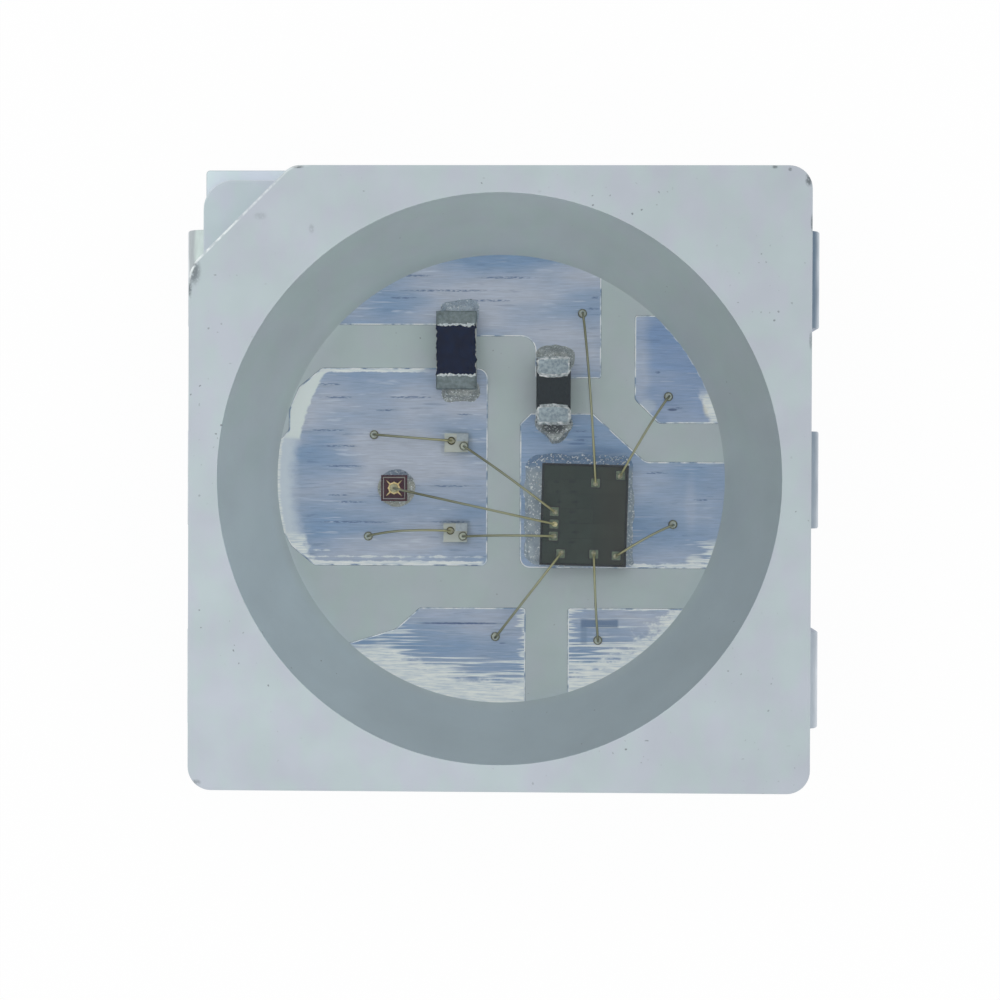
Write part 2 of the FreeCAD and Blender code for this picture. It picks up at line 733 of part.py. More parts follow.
def make_capacitor():
    """Chip capacitor: ceramic block with a plated cap over each end."""
    x, y = "Sizes.capacitor_x", "Sizes.capacitor_y"
    plating = "Sizes.capacitor_plating"
    core = make_block("capacitor_body", f"Sizes.capacitor_width - 2 * {plating}",
                      f"Sizes.capacitor_length - 2 * {plating}", f"Sizes.capacitor_height - 2 * {plating}",
                      x, y, f"{CHIP_SEAT} + {plating}")
    caps = []
    for name, end in (("capacitor_terminal_upper", 1), ("capacitor_terminal_lower", -1)):
        shell = new_body(f"{name}_shell")
        plan = new_sketch(shell, f"{name}_plan")
        draw_outline(plan, [
            ("-Sizes.capacitor_width / 2", f"{end} * (Sizes.capacitor_length / 2 - Sizes.capacitor_wrap)"),
            ("-Sizes.capacitor_width / 2", f"{end} * Sizes.capacitor_length / 2"),
            ("Sizes.capacitor_width / 2", f"{end} * Sizes.capacitor_length / 2"),
            ("Sizes.capacitor_width / 2", f"{end} * (Sizes.capacitor_length / 2 - Sizes.capacitor_wrap)"),
        ])
        add_pad(shell, f"{name}_block", plan, "Sizes.capacitor_height")
        tip = value(f"{end} * Sizes.capacitor_length / 2")
        rounded = edges_where(shell, lambda edge: abs(edge.CenterOfMass.y - tip) < LEAST)
        add_fillet(shell, f"{name}_edges", rounded, "Sizes.capacitor_round")
        place(shell, x, y, CHIP_SEAT)
        caps.append(add_cut(name, shell, core))
    return [core] + caps


def make_joint(name, end, part, members):
    """Mound of conductive adhesive under and round one terminal of a chip part."""
    half = f"(Sizes.{part}_width / 2 + Sizes.joint_margin)"
    inner = f"{end} * (Sizes.{part}_length / 2 - Sizes.joint_cover)"
    outer = f"{end} * (Sizes.{part}_length / 2 + Sizes.joint_reach)"
    near, far = (inner, outer) if end > 0 else (outer, inner)
    mound = make_mound(f"{name}_mound", (f"-{half}", near), (half, far), "Sizes.joint_corner",
                       "Sizes.joint_climb", "Sizes.joint_draft", (f"Sizes.{part}_x", f"Sizes.{part}_y"))
    return add_cut(name, mound, add_compound(f"{name}_chip", members))


def make_wire(name, start, end):
    """Gold wire from a ball, up its neck and down a long run to a flattened stitch.

    start and end are the expressions of x, y and the height of the surface that each is bonded to.
    """
    body = new_body(name)
    (start_x, start_y, start_z), (end_x, end_y, end_z) = start, end
    run = f"(sqrt(pow({end_x} - ({start_x}); 2) + pow({end_y} - ({start_y}); 2)))"
    neck_foot = f"({start_z} + Sizes.ball_height)"
    neck_top = f"(max({neck_foot}; {end_z}) + Sizes.loop_clearance)"
    landing = f"({end_z} + Sizes.wire_diameter / 2)"

    ball = new_sketch(body, f"{name}_ball_plan", offset=start_z)
    draw_circle(ball, "Sizes.ball_diameter")
    add_pad(body, f"{name}_ball", ball, "Sizes.ball_height")
    path = new_sketch(body, f"{name}_path", "XZ_Plane")
    stops = [
        ("0", neck_foot),
        ("0", neck_top),
        (f"{run} - Sizes.stitch_length / 2 + Sizes.wire_diameter", landing),
    ]
    points = [Vector(value(x), value(z), 0) for x, z in stops]
    for index in range(2):
        path.addGeometry(Part.LineSegment(points[index], points[index + 1]), False)
        pin_point(path, index, 1, *stops[index])
    path.addConstraint(Sketcher.Constraint("Coincident", 0, 2, 1, 1))
    pin_point(path, 1, 2, *stops[2])
    section = new_sketch(body, f"{name}_section", offset=neck_foot)
    draw_circle(section, "Sizes.wire_diameter")
    doc.recompute()
    loop = body.newObject("PartDesign::AdditivePipe", f"{name}_loop")
    loop.Profile = section
    loop.Spine = (path, [])
    loop.Transition = "Right corner"
    doc.recompute()
    stitch = new_sketch(body, f"{name}_stitch_plan", offset=end_z)
    draw_rectangle(stitch, f"{run} - Sizes.stitch_length / 2", "-Sizes.stitch_width / 2",
                   f"{run} + Sizes.stitch_length / 2", "Sizes.stitch_width / 2")
    add_pad(body, f"{name}_stitch", stitch, "Sizes.stitch_thickness")
    place(body, start_x, start_y, "0", f"atan2({end_y} - ({start_y}); {end_x} - ({start_x}))")
    doc.recompute()
    return body


def make_wires():
    """Ten bond wires: two from the clear dies to their plate and eight to the driver's pads."""
    film = "Sizes.film_thickness"
    driver_face = f"({DRIVER_TOP} + {film})"
    clear_face = f"({CLEAR_TOP} + {film})"
    wires = []
    for colour in ("green", "blue"):
        plate_ball = (f"Sizes.{colour}_ball_x", f"Sizes.{colour}_ball_y", FLOOR)
        contact = (f"Sizes.{colour}_x + Sizes.contact_outer_x", f"Sizes.{colour}_y + Sizes.contact_outer_y",
                   clear_face)
        wires.append(make_wire(f"wire_{colour}_die_to_plate", plate_ball, contact))
        inner = (f"Sizes.{colour}_x + Sizes.contact_inner_x", f"Sizes.{colour}_y + Sizes.contact_inner_y",
                 clear_face)
        wires.append(make_wire(f"wire_{colour}_die_to_driver", inner, (*bond_pad_place(colour), driver_face)))
    red_ball = ("Sizes.red_x", "Sizes.red_y", f"({RED_TOP} + {film})")
    wires.append(make_wire("wire_red_die_to_driver", red_ball, (*bond_pad_place("red"), driver_face)))
    for pad in ("supply", "output", "ground", "backup", "input"):
        plate_ball = (f"Sizes.{pad}_ball_x", f"Sizes.{pad}_ball_y", FLOOR)
        wires.append(make_wire(f"wire_{pad}_lead_to_driver", plate_ball, (*bond_pad_place(pad), driver_face)))
    return wires


def make_encapsulant(embedded):
    """Clear resin that fills the reflector round everything in it, with a shallow hollow on top."""
    body = new_body("encapsulant_block")
    profile = new_sketch(body, "encapsulant_profile", "XZ_Plane")
    floor, top = value(FLOOR), value("Sizes.body_height")
    floor_radius, mouth_radius = value("Sizes.floor_radius"), value("Sizes.mouth_radius")
    dip = value("Sizes.meniscus")
    arc_radius = (mouth_radius ** 2 + dip ** 2) / (2 * dip)
    centre = Vector(0, top - dip + arc_radius, 0)
    half_way = math.asin(mouth_radius / arc_radius) / 2
    middle = Vector(arc_radius * math.sin(half_way), centre.y - arc_radius * math.cos(half_way), 0)
    foot, rim = Vector(floor_radius, floor, 0), Vector(mouth_radius, top, 0)
    hollow = Vector(0, top - dip, 0)
    profile.addGeometry(Part.LineSegment(Vector(0, floor, 0), foot), False)
    profile.addGeometry(Part.LineSegment(foot, rim), False)
    profile.addGeometry(Part.Arc(hollow, middle, rim), False)
    profile.addGeometry(Part.LineSegment(hollow, Vector(0, floor, 0)), False)
    for first, first_end, second, second_end in ((0, 2, 1, 1), (1, 2, 2, 2), (2, 1, 3, 1), (3, 2, 0, 1)):
        profile.addConstraint(Sketcher.Constraint("Coincident", first, first_end, second, second_end))
    profile.addConstraint(Sketcher.Constraint("PointOnObject", 2, 3, -2))
    pin_point(profile, 0, 1, "0", FLOOR)
    pin_point(profile, 1, 1, "Sizes.floor_radius", FLOOR)
    pin_point(profile, 1, 2, "Sizes.mouth_radius", "Sizes.body_height")
    pin_point(profile, 3, 1, "0", "Sizes.body_height - Sizes.meniscus")
    doc.recompute()
    turn_profile(body, "resin", "Revolution", profile)
    return add_cut("encapsulant", body, add_compound("embedded_set", embedded))


def check_document():
    for item in doc.Objects:
        if "Invalid" in item.State or "Error" in item.State:
            raise ValueError(f"{item.Label} failed: {item.State}")


def write_nodes(nodes):
    """One STEP file for each piece, named by its label."""
    for node in nodes:
        shape = node.Shape
        if shape.isNull() or not shape.isValid() or not shape.Solids:
            raise ValueError(f"{node.Label} has no valid solid")
    os.makedirs("parts", exist_ok=True)
    for node in nodes:
        node.Shape.exportStep(f"parts/{node.Label}.step")


fill_sheet()
lead_pieces = make_leads()
housing = make_housing(lead_pieces)
die_pieces = make_red_die() + make_clear_die("green") + make_clear_die("blue") + make_driver()
resistor_pieces = make_resistor()
capacitor_pieces = make_capacitor()
joint_pieces = [
    make_joint("resistor_joint_upper", 1, "resistor", resistor_pieces),
    make_joint("resistor_joint_lower", -1, "resistor", resistor_pieces),
    make_joint("capacitor_joint_upper", 1, "capacitor", capacitor_pieces),
    make_joint("capacitor_joint_lower", -1, "capacitor", capacitor_pieces),
]
wire_pieces = make_wires()
inside = die_pieces + resistor_pieces + capacitor_pieces + joint_pieces + wire_pieces
encapsulant = make_encapsulant(inside)
doc.recompute()
check_document()
write_nodes([housing, encapsulant] + lead_pieces + inside)
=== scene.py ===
"""Looks of a 5 mm surface-mount LED: white moulded body, silver-plated leads, chips, wires, clear resin.

Shapes are worked out in millimetres and written to their meshes in metres.
"""
import math
from typing import NamedTuple

import bmesh
import bpy
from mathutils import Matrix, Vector, noise


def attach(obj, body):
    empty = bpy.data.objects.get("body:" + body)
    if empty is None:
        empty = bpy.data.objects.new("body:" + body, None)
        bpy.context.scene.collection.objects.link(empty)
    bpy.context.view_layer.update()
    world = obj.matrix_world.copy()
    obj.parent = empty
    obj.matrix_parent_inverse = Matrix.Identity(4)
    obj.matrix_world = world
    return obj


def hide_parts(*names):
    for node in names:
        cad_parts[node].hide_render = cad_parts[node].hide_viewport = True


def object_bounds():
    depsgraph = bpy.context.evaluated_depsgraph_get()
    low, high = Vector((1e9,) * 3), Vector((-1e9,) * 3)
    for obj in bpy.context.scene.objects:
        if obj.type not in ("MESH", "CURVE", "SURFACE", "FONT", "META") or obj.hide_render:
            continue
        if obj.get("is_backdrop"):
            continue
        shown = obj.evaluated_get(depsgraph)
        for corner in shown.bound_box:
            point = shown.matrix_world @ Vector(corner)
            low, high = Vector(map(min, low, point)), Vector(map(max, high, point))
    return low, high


MM = 0.001
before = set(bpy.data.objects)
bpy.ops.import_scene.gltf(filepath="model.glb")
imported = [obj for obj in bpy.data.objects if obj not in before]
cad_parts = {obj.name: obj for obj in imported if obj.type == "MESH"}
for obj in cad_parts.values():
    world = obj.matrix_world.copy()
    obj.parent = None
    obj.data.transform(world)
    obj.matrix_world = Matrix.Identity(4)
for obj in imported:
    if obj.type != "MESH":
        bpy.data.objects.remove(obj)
cad_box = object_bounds()

# Heights in millimetres
FOOT = 0.0
STANDOFF = 0.03
WELL_TOP = 0.14
FRAME_LOW = 0.64
FLOOR = 0.77
LEDGE = 0.95
TOP = 1.60
RED_TOP = 0.880
CLEAR_TOP = 0.870
DRIVER_TOP = 0.960
FILM = 0.004

# Plan sizes in millimetres
UPPER_HALF_X = 2.485
UPPER_HALF_Y = 2.50
LOWER_HALF_X = 2.45
LOWER_HALF_Y = 2.54
INDEX_CUT = 0.822
LEDGE_X = 2.449
LEDGE_Y = 2.443
FLOOR_RADIUS = 1.83
MOUTH_RADIUS = 2.26
MOUTH_STRETCH = (0.991, 1.004)
MENISCUS = 0.04
PITCH = 1.65
LEAD_HALF = 0.40
METAL = 0.13
LEAD_FACE = 2.62
TOE = 1.77
NECK = 2.00
WIRE_RADIUS = 0.0100
LOOP_RISE = 0.090

# Middles of the chips, and where the two chip parts lie: x, y, width, length, lowest, highest
RED = (-0.868, -0.078)
GREEN = (-0.361, 0.293)
BLUE = (-0.367, -0.440)
DRIVER = (0.682, -0.291)
DRIVER_TURN = -1.5
RESISTOR = (-0.360, 1.044, 0.325, 0.633, 0.790, 1.008)
CAPACITOR = (0.430, 0.716, 0.284, 0.552, 0.790, 1.070)


# Nodes and colours

def linear(code):
    """Linear colour from an sRGB hex code."""
    parts = [int(code[i:i + 2], 16) / 255 for i in (1, 3, 5)]
    return tuple(p / 12.92 if p <= 0.04045 else ((p + 0.055) / 1.055) ** 2.4 for p in parts) + (1.0,)


def add(tree, kind, inputs=None, out=0, **settings):
    """Adds a node, sets or links its inputs, and returns one of its outputs."""
    node = tree.nodes.new(kind if kind.startswith(("Geometry", "Function", "Node")) else "ShaderNode" + kind)
    for name, setting in settings.items():
        setattr(node, name, setting)
    for key, given in (inputs or {}).items():
        if isinstance(given, bpy.types.NodeSocket):
            tree.links.new(given, node.inputs[key])
        else:
            node.inputs[key].default_value = given
    return node.outputs[out] if len(node.outputs) else None


def empty_tree(owner):
    """The cleared node tree of a material or a world."""
    owner.use_nodes = True
    owner.node_tree.nodes.clear()
    return owner.node_tree


class Skin:
    """A material under way, with the piece's own coordinates in millimetres.

    A share is how far something shows, from 0 to 1. A ramp is a tuple of a socket and the two
    levels between which it goes from 0 to 1, or from one further number to another.
    """

    def __init__(self, name):
        self.material = bpy.data.materials.new(name)
        self.tree = empty_tree(self.material)
        place = self.add("TexCoord", out="Object")
        self.mm = self.add("VectorMath", {0: place, "Scale": 1 / MM}, operation="SCALE")
        self.x = self.add("SeparateXYZ", {0: self.mm})
        self.y, self.z = (self.x.node.outputs[axis] for axis in "YZ")

    def add(self, kind, inputs=None, out=0, **settings):
        return add(self.tree, kind, inputs, out, **settings)

    def done(self, inputs):
        """The material, with a shader that has these inputs."""
        self.add("OutputMaterial", {"Surface": self.add("BsdfPrincipled", inputs)})
        return self.material

    def grain(self, size, seed, detail=3.0, rough=0.5):
        """Cloudy noise; size is the width of its blotches in mm, along X, Y and Z if they differ."""
        size = size if isinstance(size, tuple) else (size, size, size)
        spread = tuple(1 / s for s in (*size, 1.0)[:3])
        shift = (seed * 3.7, seed * 5.1, seed * 1.9)
        moved = self.add("Mapping", {"Vector": self.mm, "Location": shift, "Scale": spread})
        return self.add("TexNoise", {"Vector": moved, "Scale": 1.0, "Detail": detail, "Roughness": rough})

    def share(self, *parts, smooth=False):
        """Product of numbers, sockets and ramps."""
        shares = []
        for part in parts:
            if isinstance(part, tuple):
                levels = dict(enumerate((*part, 0.0, 1.0)[:5]))
                part = self.add("MapRange", levels, interpolation_type="SMOOTHSTEP" if smooth else "LINEAR")
            shares.append(part)
        product = shares[0]
        for part in shares[1:]:
            product = self.add("Math", {0: product, 1: part}, operation="MULTIPLY")
        return product

    def near(self, point, reach, core=0.0):
        """1 at a point, falling to 0 at reach from it; reach is a pair for an oval, core the flat share."""
        (x, y), (wide, high) = point, reach
        moved = self.add("Mapping", {"Vector": self.mm, "Location": (-x / wide, -y / high, 0),
                                     "Scale": (1 / wide, 1 / high, 0)})
        away = self.add("VectorMath", {0: moved}, out="Value", operation="LENGTH")
        return self.share((away, 1.0, core), smooth=True)

    def lay(self, under, over, *parts, blend="MIX"):
        """One colour over another by a share; each colour is a socket or a hex code."""
        under, over = (linear(c) if isinstance(c, str) else c for c in (under, over))
        return self.add("Mix", {0: self.share(*parts), 6: under, 7: over}, out=2, data_type="RGBA",
                        blend_type=blend)

    def shade(self, colour, *parts):
        """The colour made lighter or darker by a product."""
        return self.lay(colour, self.share(*parts), 1.0, blend="MULTIPLY")

    def tones(self, fac, stops):
        """Colour that changes with fac; stops are pairs of level and hex code."""
        ramp = self.add("ValToRGB", {0: fac})
        points = ramp.node.color_ramp.elements
        for i, (level, code) in enumerate(stops):
            point = points[i] if i < 2 else points.new(level)
            point.position = level
            point.color = linear(code)
        return ramp


# Shapes

def rounded(corners, radii, steps=8):
    """Outline through corners, each rounded by its radius (0 keeps it sharp)."""
    outline = []
    for i, corner in enumerate(corners):
        here = Vector(corner)
        radius = radii[i] if isinstance(radii, (list, tuple)) else radii
        if radius <= 0:
            outline.append(here)
            continue
        back = (Vector(corners[i - 1]) - here).normalized()
        ahead = (Vector(corners[(i + 1) % len(corners)]) - here).normalized()
        half_angle = back.angle(ahead) / 2
        middle = here + (back + ahead).normalized() * radius / math.sin(half_angle)
        start = here + back * radius / math.tan(half_angle) - middle
        end = here + ahead * radius / math.tan(half_angle) - middle
        sweep = start.angle_signed(end)
        for step in range(steps + 1):
            turn = -sweep * step / steps
            c, s = math.cos(turn), math.sin(turn)
            outline.append(middle + Vector((start.x * c - start.y * s, start.x * s + start.y * c)))
    return outline


def area_sign(outline):
    total = sum(a.x * b.y - b.x * a.y for a, b in zip(outline, outline[1:] + outline[:1]))
    return 1 if total > 0 else -1


def shrink(outline, distance):
    """The outline moved inwards by a distance, corner by corner."""
    sign = area_sign(outline)
    moved = []
    for i, here in enumerate(outline):
        before = (here - outline[i - 1]).normalized()
        after = (outline[(i + 1) % len(outline)] - here).normalized()
        first = Vector((-before.y, before.x)) * sign
        second = Vector((-after.y, after.x)) * sign
        both = (first + second).normalized()
        moved.append(here + both * distance / max(both.dot(first), 0.35))
    return moved


def circle(radius, count, centre=(0, 0), stretch=(1, 1)):
    wide, high = radius * stretch[0], radius * stretch[1]
    turns = [2 * math.pi * i / count for i in range(count)]
    return [Vector((centre[0] + wide * math.cos(t), centre[1] + high * math.sin(t))) for t in turns]


def rectangle(low_x, low_y, high_x, high_y):
    return [Vector(c) for c in ((low_x, low_y), (high_x, low_y), (high_x, high_y), (low_x, high_y))]


def centred(length, width, x=0.0, y=0.0):
    return rectangle(x - length / 2, y - width / 2, x + length / 2, y + width / 2)


def turned(outline, angle, centre):
    """The outline turned by an angle in degrees about a centre."""
    c, s = math.cos(math.radians(angle)), math.sin(math.radians(angle))
    cx, cy = centre
    return [Vector((cx + (p.x - cx) * c - (p.y - cy) * s, cy + (p.x - cx) * s + (p.y - cy) * c))
            for p in outline]


def dense(corners, spacing):
    """Corners joined by points at a spacing."""
    points = []
    for start, end in zip(corners, corners[1:] + corners[:1]):
        count = max(1, round((end - start).length / spacing))
        points += [start.lerp(end, step / count) for step in range(count)]
    return points


def ragged(outline, amount, size, seed, along=None):
    """The outline with a torn edge; along limits it to points for which the test holds."""
    torn = []
    for p in outline:
        shift = noise.noise_vector(Vector((p.x / size + seed * 9.3, p.y / size, seed)))
        torn.append(p + shift.to_2d() * amount if not along or along(p) else p)
    return torn


def ring(bm, outline, z):
    return [bm.verts.new((p.x, p.y, z)) for p in outline]


def wall(bm, low, high, slot=0):
    for i in range(len(low)):
        j = (i + 1) % len(low)
        bm.faces.new((low[i], low[j], high[j], high[i])).material_index = slot


def loft(bm, levels, slots=None, caps=(True, True)):
    """Closed stack of outlines with equal numbers of points; levels are pairs of outline and height."""
    rings = [ring(bm, outline, z) for outline, z in levels]
    for i in range(len(rings) - 1):
        wall(bm, rings[i], rings[i + 1], slots[i] if slots else 0)
    if caps[0]:
        bm.faces.new(list(reversed(rings[0])))
    if caps[1]:
        bm.faces.new(rings[-1]).material_index = slots[-1] if slots else 0
    return rings


def torn_stack(bm, plan, levels, tear, slots=None):
    """Stack of outlines, each moved inwards first and torn after, so no edge crosses itself."""
    loft(bm, [(tear(shrink(plan, inset)), z) for inset, z in levels], slots)


def block(bm, outline, low, high, edge=0.006, slots=None):
    """Upright block with softened top edges."""
    loft(bm, [(outline, low), (outline, high - edge), (shrink(outline, edge * 0.3), high - edge * 0.3),
              (shrink(outline, edge), high)], slots=slots)


def mesa(bm, outline, top, insets, slots):
    """Block from just above the floor, whose top stands up inside a slanting edge."""
    loft(bm, [(outline, FLOOR + 0.010), (outline, top - 0.008), (shrink(outline, insets[0]), top - 0.007),
              (shrink(outline, insets[1]), top)], slots=slots)


def fill_ring(bm, outer, inner, slot=0):
    """Flat faces between two rings of one height."""
    edges = []
    for loop in (outer, inner):
        for pair in zip(loop, loop[1:] + loop[:1]):
            edges.append(bm.edges.get(pair) or bm.edges.new(pair))
    made = bmesh.ops.triangle_fill(bm, use_beauty=True, edges=edges)
    for item in made["geom"]:
        if isinstance(item, bmesh.types.BMFace):
            item.material_index = slot


def link(name, data):
    thing = bpy.data.objects.new(name, data)
    bpy.context.scene.collection.objects.link(thing)
    return thing


def to_object(name, bm, materials, smooth_angle=40.0):
    """The finished piece: its mesh in metres, faces outwards, smooth up to an angle."""
    bmesh.ops.remove_doubles(bm, verts=bm.verts, dist=1e-6)
    bmesh.ops.recalc_face_normals(bm, faces=bm.faces)
    bmesh.ops.scale(bm, vec=(MM, MM, MM), verts=bm.verts)
    mesh = bpy.data.meshes.new(name)
    bm.to_mesh(mesh)
    bm.free()
    for material in materials:
        mesh.materials.append(material)
    for polygon in mesh.polygons:
        polygon.use_smooth = len(polygon.vertices) <= 4 and abs(polygon.normal.z) < 0.999999
    mesh.set_sharp_from_angle(angle=math.radians(smooth_angle))
    return link(name, mesh)


def dress(piece, slot, *nodes):
    """Puts a piece on the body, in place of the CAD nodes that it stands for."""
    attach(piece, "root")
    if nodes:
        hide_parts(*nodes)
    return piece


def make_piece(name, bm, materials, smooth_angle, slot, *nodes):
    return dress(to_object(name, bm, materials, smooth_angle), slot, *nodes)


def new_tree(name, inputs):
    """An empty Geometry Nodes tree and its inputs, which are pairs of name and kind of socket."""
    tree = bpy.data.node_groups.new(name, "GeometryNodeTree")
    for label, kind in (("Geometry", "Geometry"), *inputs):
        tree.interface.new_socket(label, in_out="INPUT", socket_type="NodeSocket" + kind)
    tree.interface.new_socket("Geometry", in_out="OUTPUT", socket_type="NodeSocketGeometry")
    return tree, add(tree, "NodeGroupInput", out="Geometry").node.outputs


def apply_tree(piece, tree, inputs):
    """Runs a Geometry Nodes tree on a piece and keeps its result as a plain mesh."""
    modifier = piece.modifiers.new("build", "NODES")
    modifier.node_group = tree
    for item in tree.interface.items_tree:
        if item.item_type == "SOCKET" and item.in_out == "INPUT" and item.name in inputs:
            modifier[item.identifier] = inputs[item.name]
    bpy.context.view_layer.update()
    shown = piece.evaluated_get(bpy.context.evaluated_depsgraph_get())
    mesh = bpy.data.meshes.new_from_object(shown)
    name = piece.name
    bpy.data.objects.remove(piece)
    mesh.name = name
    return link(name, mesh)


# Materials

# Place, reach and share of each scuff on the moulding
SCUFFS = (
    ((-2.430, 1.64), (0.075, 0.14), 0.75), ((-2.46, 1.50), (0.025, 0.08), 0.8),
    ((-1.61, 2.470), (0.07, 0.018), 1.0), ((-1.90, 2.08), (0.07, 0.04), 0.22),
    ((-1.49, 1.98), (0.03, 0.05), 0.25), ((2.44, 2.37), (0.04, 0.07), 0.9),
    ((2.465, 2.03), (0.015, 0.09), 0.8), ((2.17, 2.47), (0.03, 0.02), 0.8),
    ((2.29, 2.45), (0.02, 0.02), 0.7), ((2.46, 1.10), (0.02, 0.10), 0.5), ((-2.40, -2.42), (0.05, 0.03), 0.5),
)


def moulded_body(name, gain, wet=False):
    """White polyamide, injection-moulded: matt, faintly mottled, with a few dark specks and scuffs.

    gain is painted light: it lifts the colour under the resin, where less light reaches the plastic, and on a
    shoulder that catches more light. Its faces get painted light and shade as well.
    """
    skin = Skin(name)
    cloud = skin.grain(0.5, 1.0, 4.0)
    tint = skin.grain((0.22, 0.35, 0.3), 3.0, 2.0)
    slant = skin.add("Math", {0: skin.y, 1: skin.x}, operation="SUBTRACT")
    tones = ("#B6BEC1", "#B4C0BF") if wet else ("#B6BDC6", "#B4C1C4")
    colour = skin.lay(*tones, (tint, 0.38, 0.62))
    if wet:
        # painted light and shade: the reflector is lit evenly, so its wall is painted darker on the side that
        # faces the lamp, lighter across from it, and paler towards the bottom
        away = skin.add("VectorMath", {0: skin.mm}, out="Value", operation="LENGTH")
        cone = skin.share((away, 1.90, 2.10))
        rise = skin.share((slant, -2.9, 2.1, 0.85 * gain, 1.14 * gain))
        light = skin.add("Mix", {0: cone, 2: gain, 3: rise}, data_type="FLOAT")
        colour = skin.lay(colour, "#BAC6CC", cone, (skin.y, 0.9, -0.9))
    else:
        # painted light: lighter towards the left and towards the bottom
        light = skin.share((skin.x, -2.4, 2.4, 1.04 * gain, 0.96 * gain), (skin.y, -2.4, 2.4, 1.04, 0.99))
    light = skin.share(light, (cloud, 0.3, 0.7, 0.96, 1.04))
    if not wet:
        # painted light: only faces turned up keep the gain
        facing = skin.add("TexCoord", out="Normal")
        upward = skin.add("SeparateXYZ", {0: facing}, out="Z")
        light = skin.share(light, (upward, 0.1, 0.4, 1 / gain, 1.0))
        # painted light: the lowest shoulder is lifted as if it caught light from the table
        low = skin.share((upward, 0.5, 0.9), (skin.z, 0.85, 0.80))
        light = skin.add("Math", {0: low, 1: 0.30, 2: light}, operation="MULTIPLY_ADD")
    colour = skin.shade(colour, light)
    least = 0.85 if wet else 0.80
    colour = skin.lay(colour, "#7E868A", (skin.grain(0.035, 5.0, 0.0), least, least + 0.06),
                      (skin.grain(0.6, 9.0, 1.0), 0.48, 0.62))
    if wet:
        return skin.done({"Base Color": colour, "Roughness": 0.62})
    fine = skin.grain(0.06, 2.0, 2.0)
    # scuffs fade out down the flank
    torn = skin.share((skin.grain(0.020, 7.0, 2.0), 0.32, 0.50, 0.25, 1.0), (skin.z, TOP - 0.30, TOP - 0.10))
    for point, reach, share in SCUFFS:
        colour = skin.lay(colour, "#5F686C", skin.near(point, reach, 0.3), torn, share)
    # painted highlight: the corner cut's upper edge, whose rounding catches the light, is painted bright
    outward = skin.add("VectorMath", {0: facing, 1: (-0.7, 0.7, 0.0)}, out="Value", operation="DOT_PRODUCT")
    colour = skin.lay(colour, "#E8EFEF", (outward, 0.22, 0.45), (fine, 0.38, 0.56, 0.15, 1.0),
                      (skin.y, 1.90, 2.15, 1.0, 0.55), (slant, 3.98, 4.08),
                      (skin.z, TOP - 0.050, TOP - 0.030))
    bump = skin.add("Bump", {"Height": fine, "Strength": 0.25, "Distance": 0.004 * MM})
    return skin.done({"Base Color": colour, "Roughness": 0.62, "Normal": bump})


def clear_body(name, code, index):
    """Clear and smooth: nothing to see but how far it bends the light."""
    look = {"Base Color": linear(code), "Roughness": 0.0, "IOR": index, "Transmission Weight": 1.0}
    return Skin(name).done(look)


def mottled(name, code, light, size, rough, depth=0.0, metallic=0.0, shine=0.5, stretch=(1, 1, 1)):
    """Two tones in cloudy noise of a size in mm, and its depth as grain; one tone alone stays plain."""
    skin = Skin(name)
    look = {"Base Color": linear(code), "Metallic": metallic, "Roughness": rough, "Specular IOR Level": shine}
    if light:
        cloud = skin.grain(tuple(size * s for s in stretch), 1.0 if metallic else 2.0)
        look["Base Color"] = skin.lay(code, light, (cloud, 0.36, 0.64))
        if depth:
            look["Normal"] = skin.add("Bump", {"Height": cloud, "Strength": 1.0, "Distance": depth * MM})
    return skin.done(look)


class Band(NamedTuple):
    """A pale band of painted reflection along the rim of the reflector's floor, or along a line at a place on
    x or y.

    torn is how far its edge wanders, in waves or like a comb; where are gates along an axis, each
    with its low and high end and how softly it closes. No colour means the painted white of the reflection.
    """

    line: str
    at: float
    width: float
    torn: float = 0.0
    soft: float = 0.02
    where: list | tuple = ()
    share: float = 0.95
    comb: bool = False
    colour: str = ""


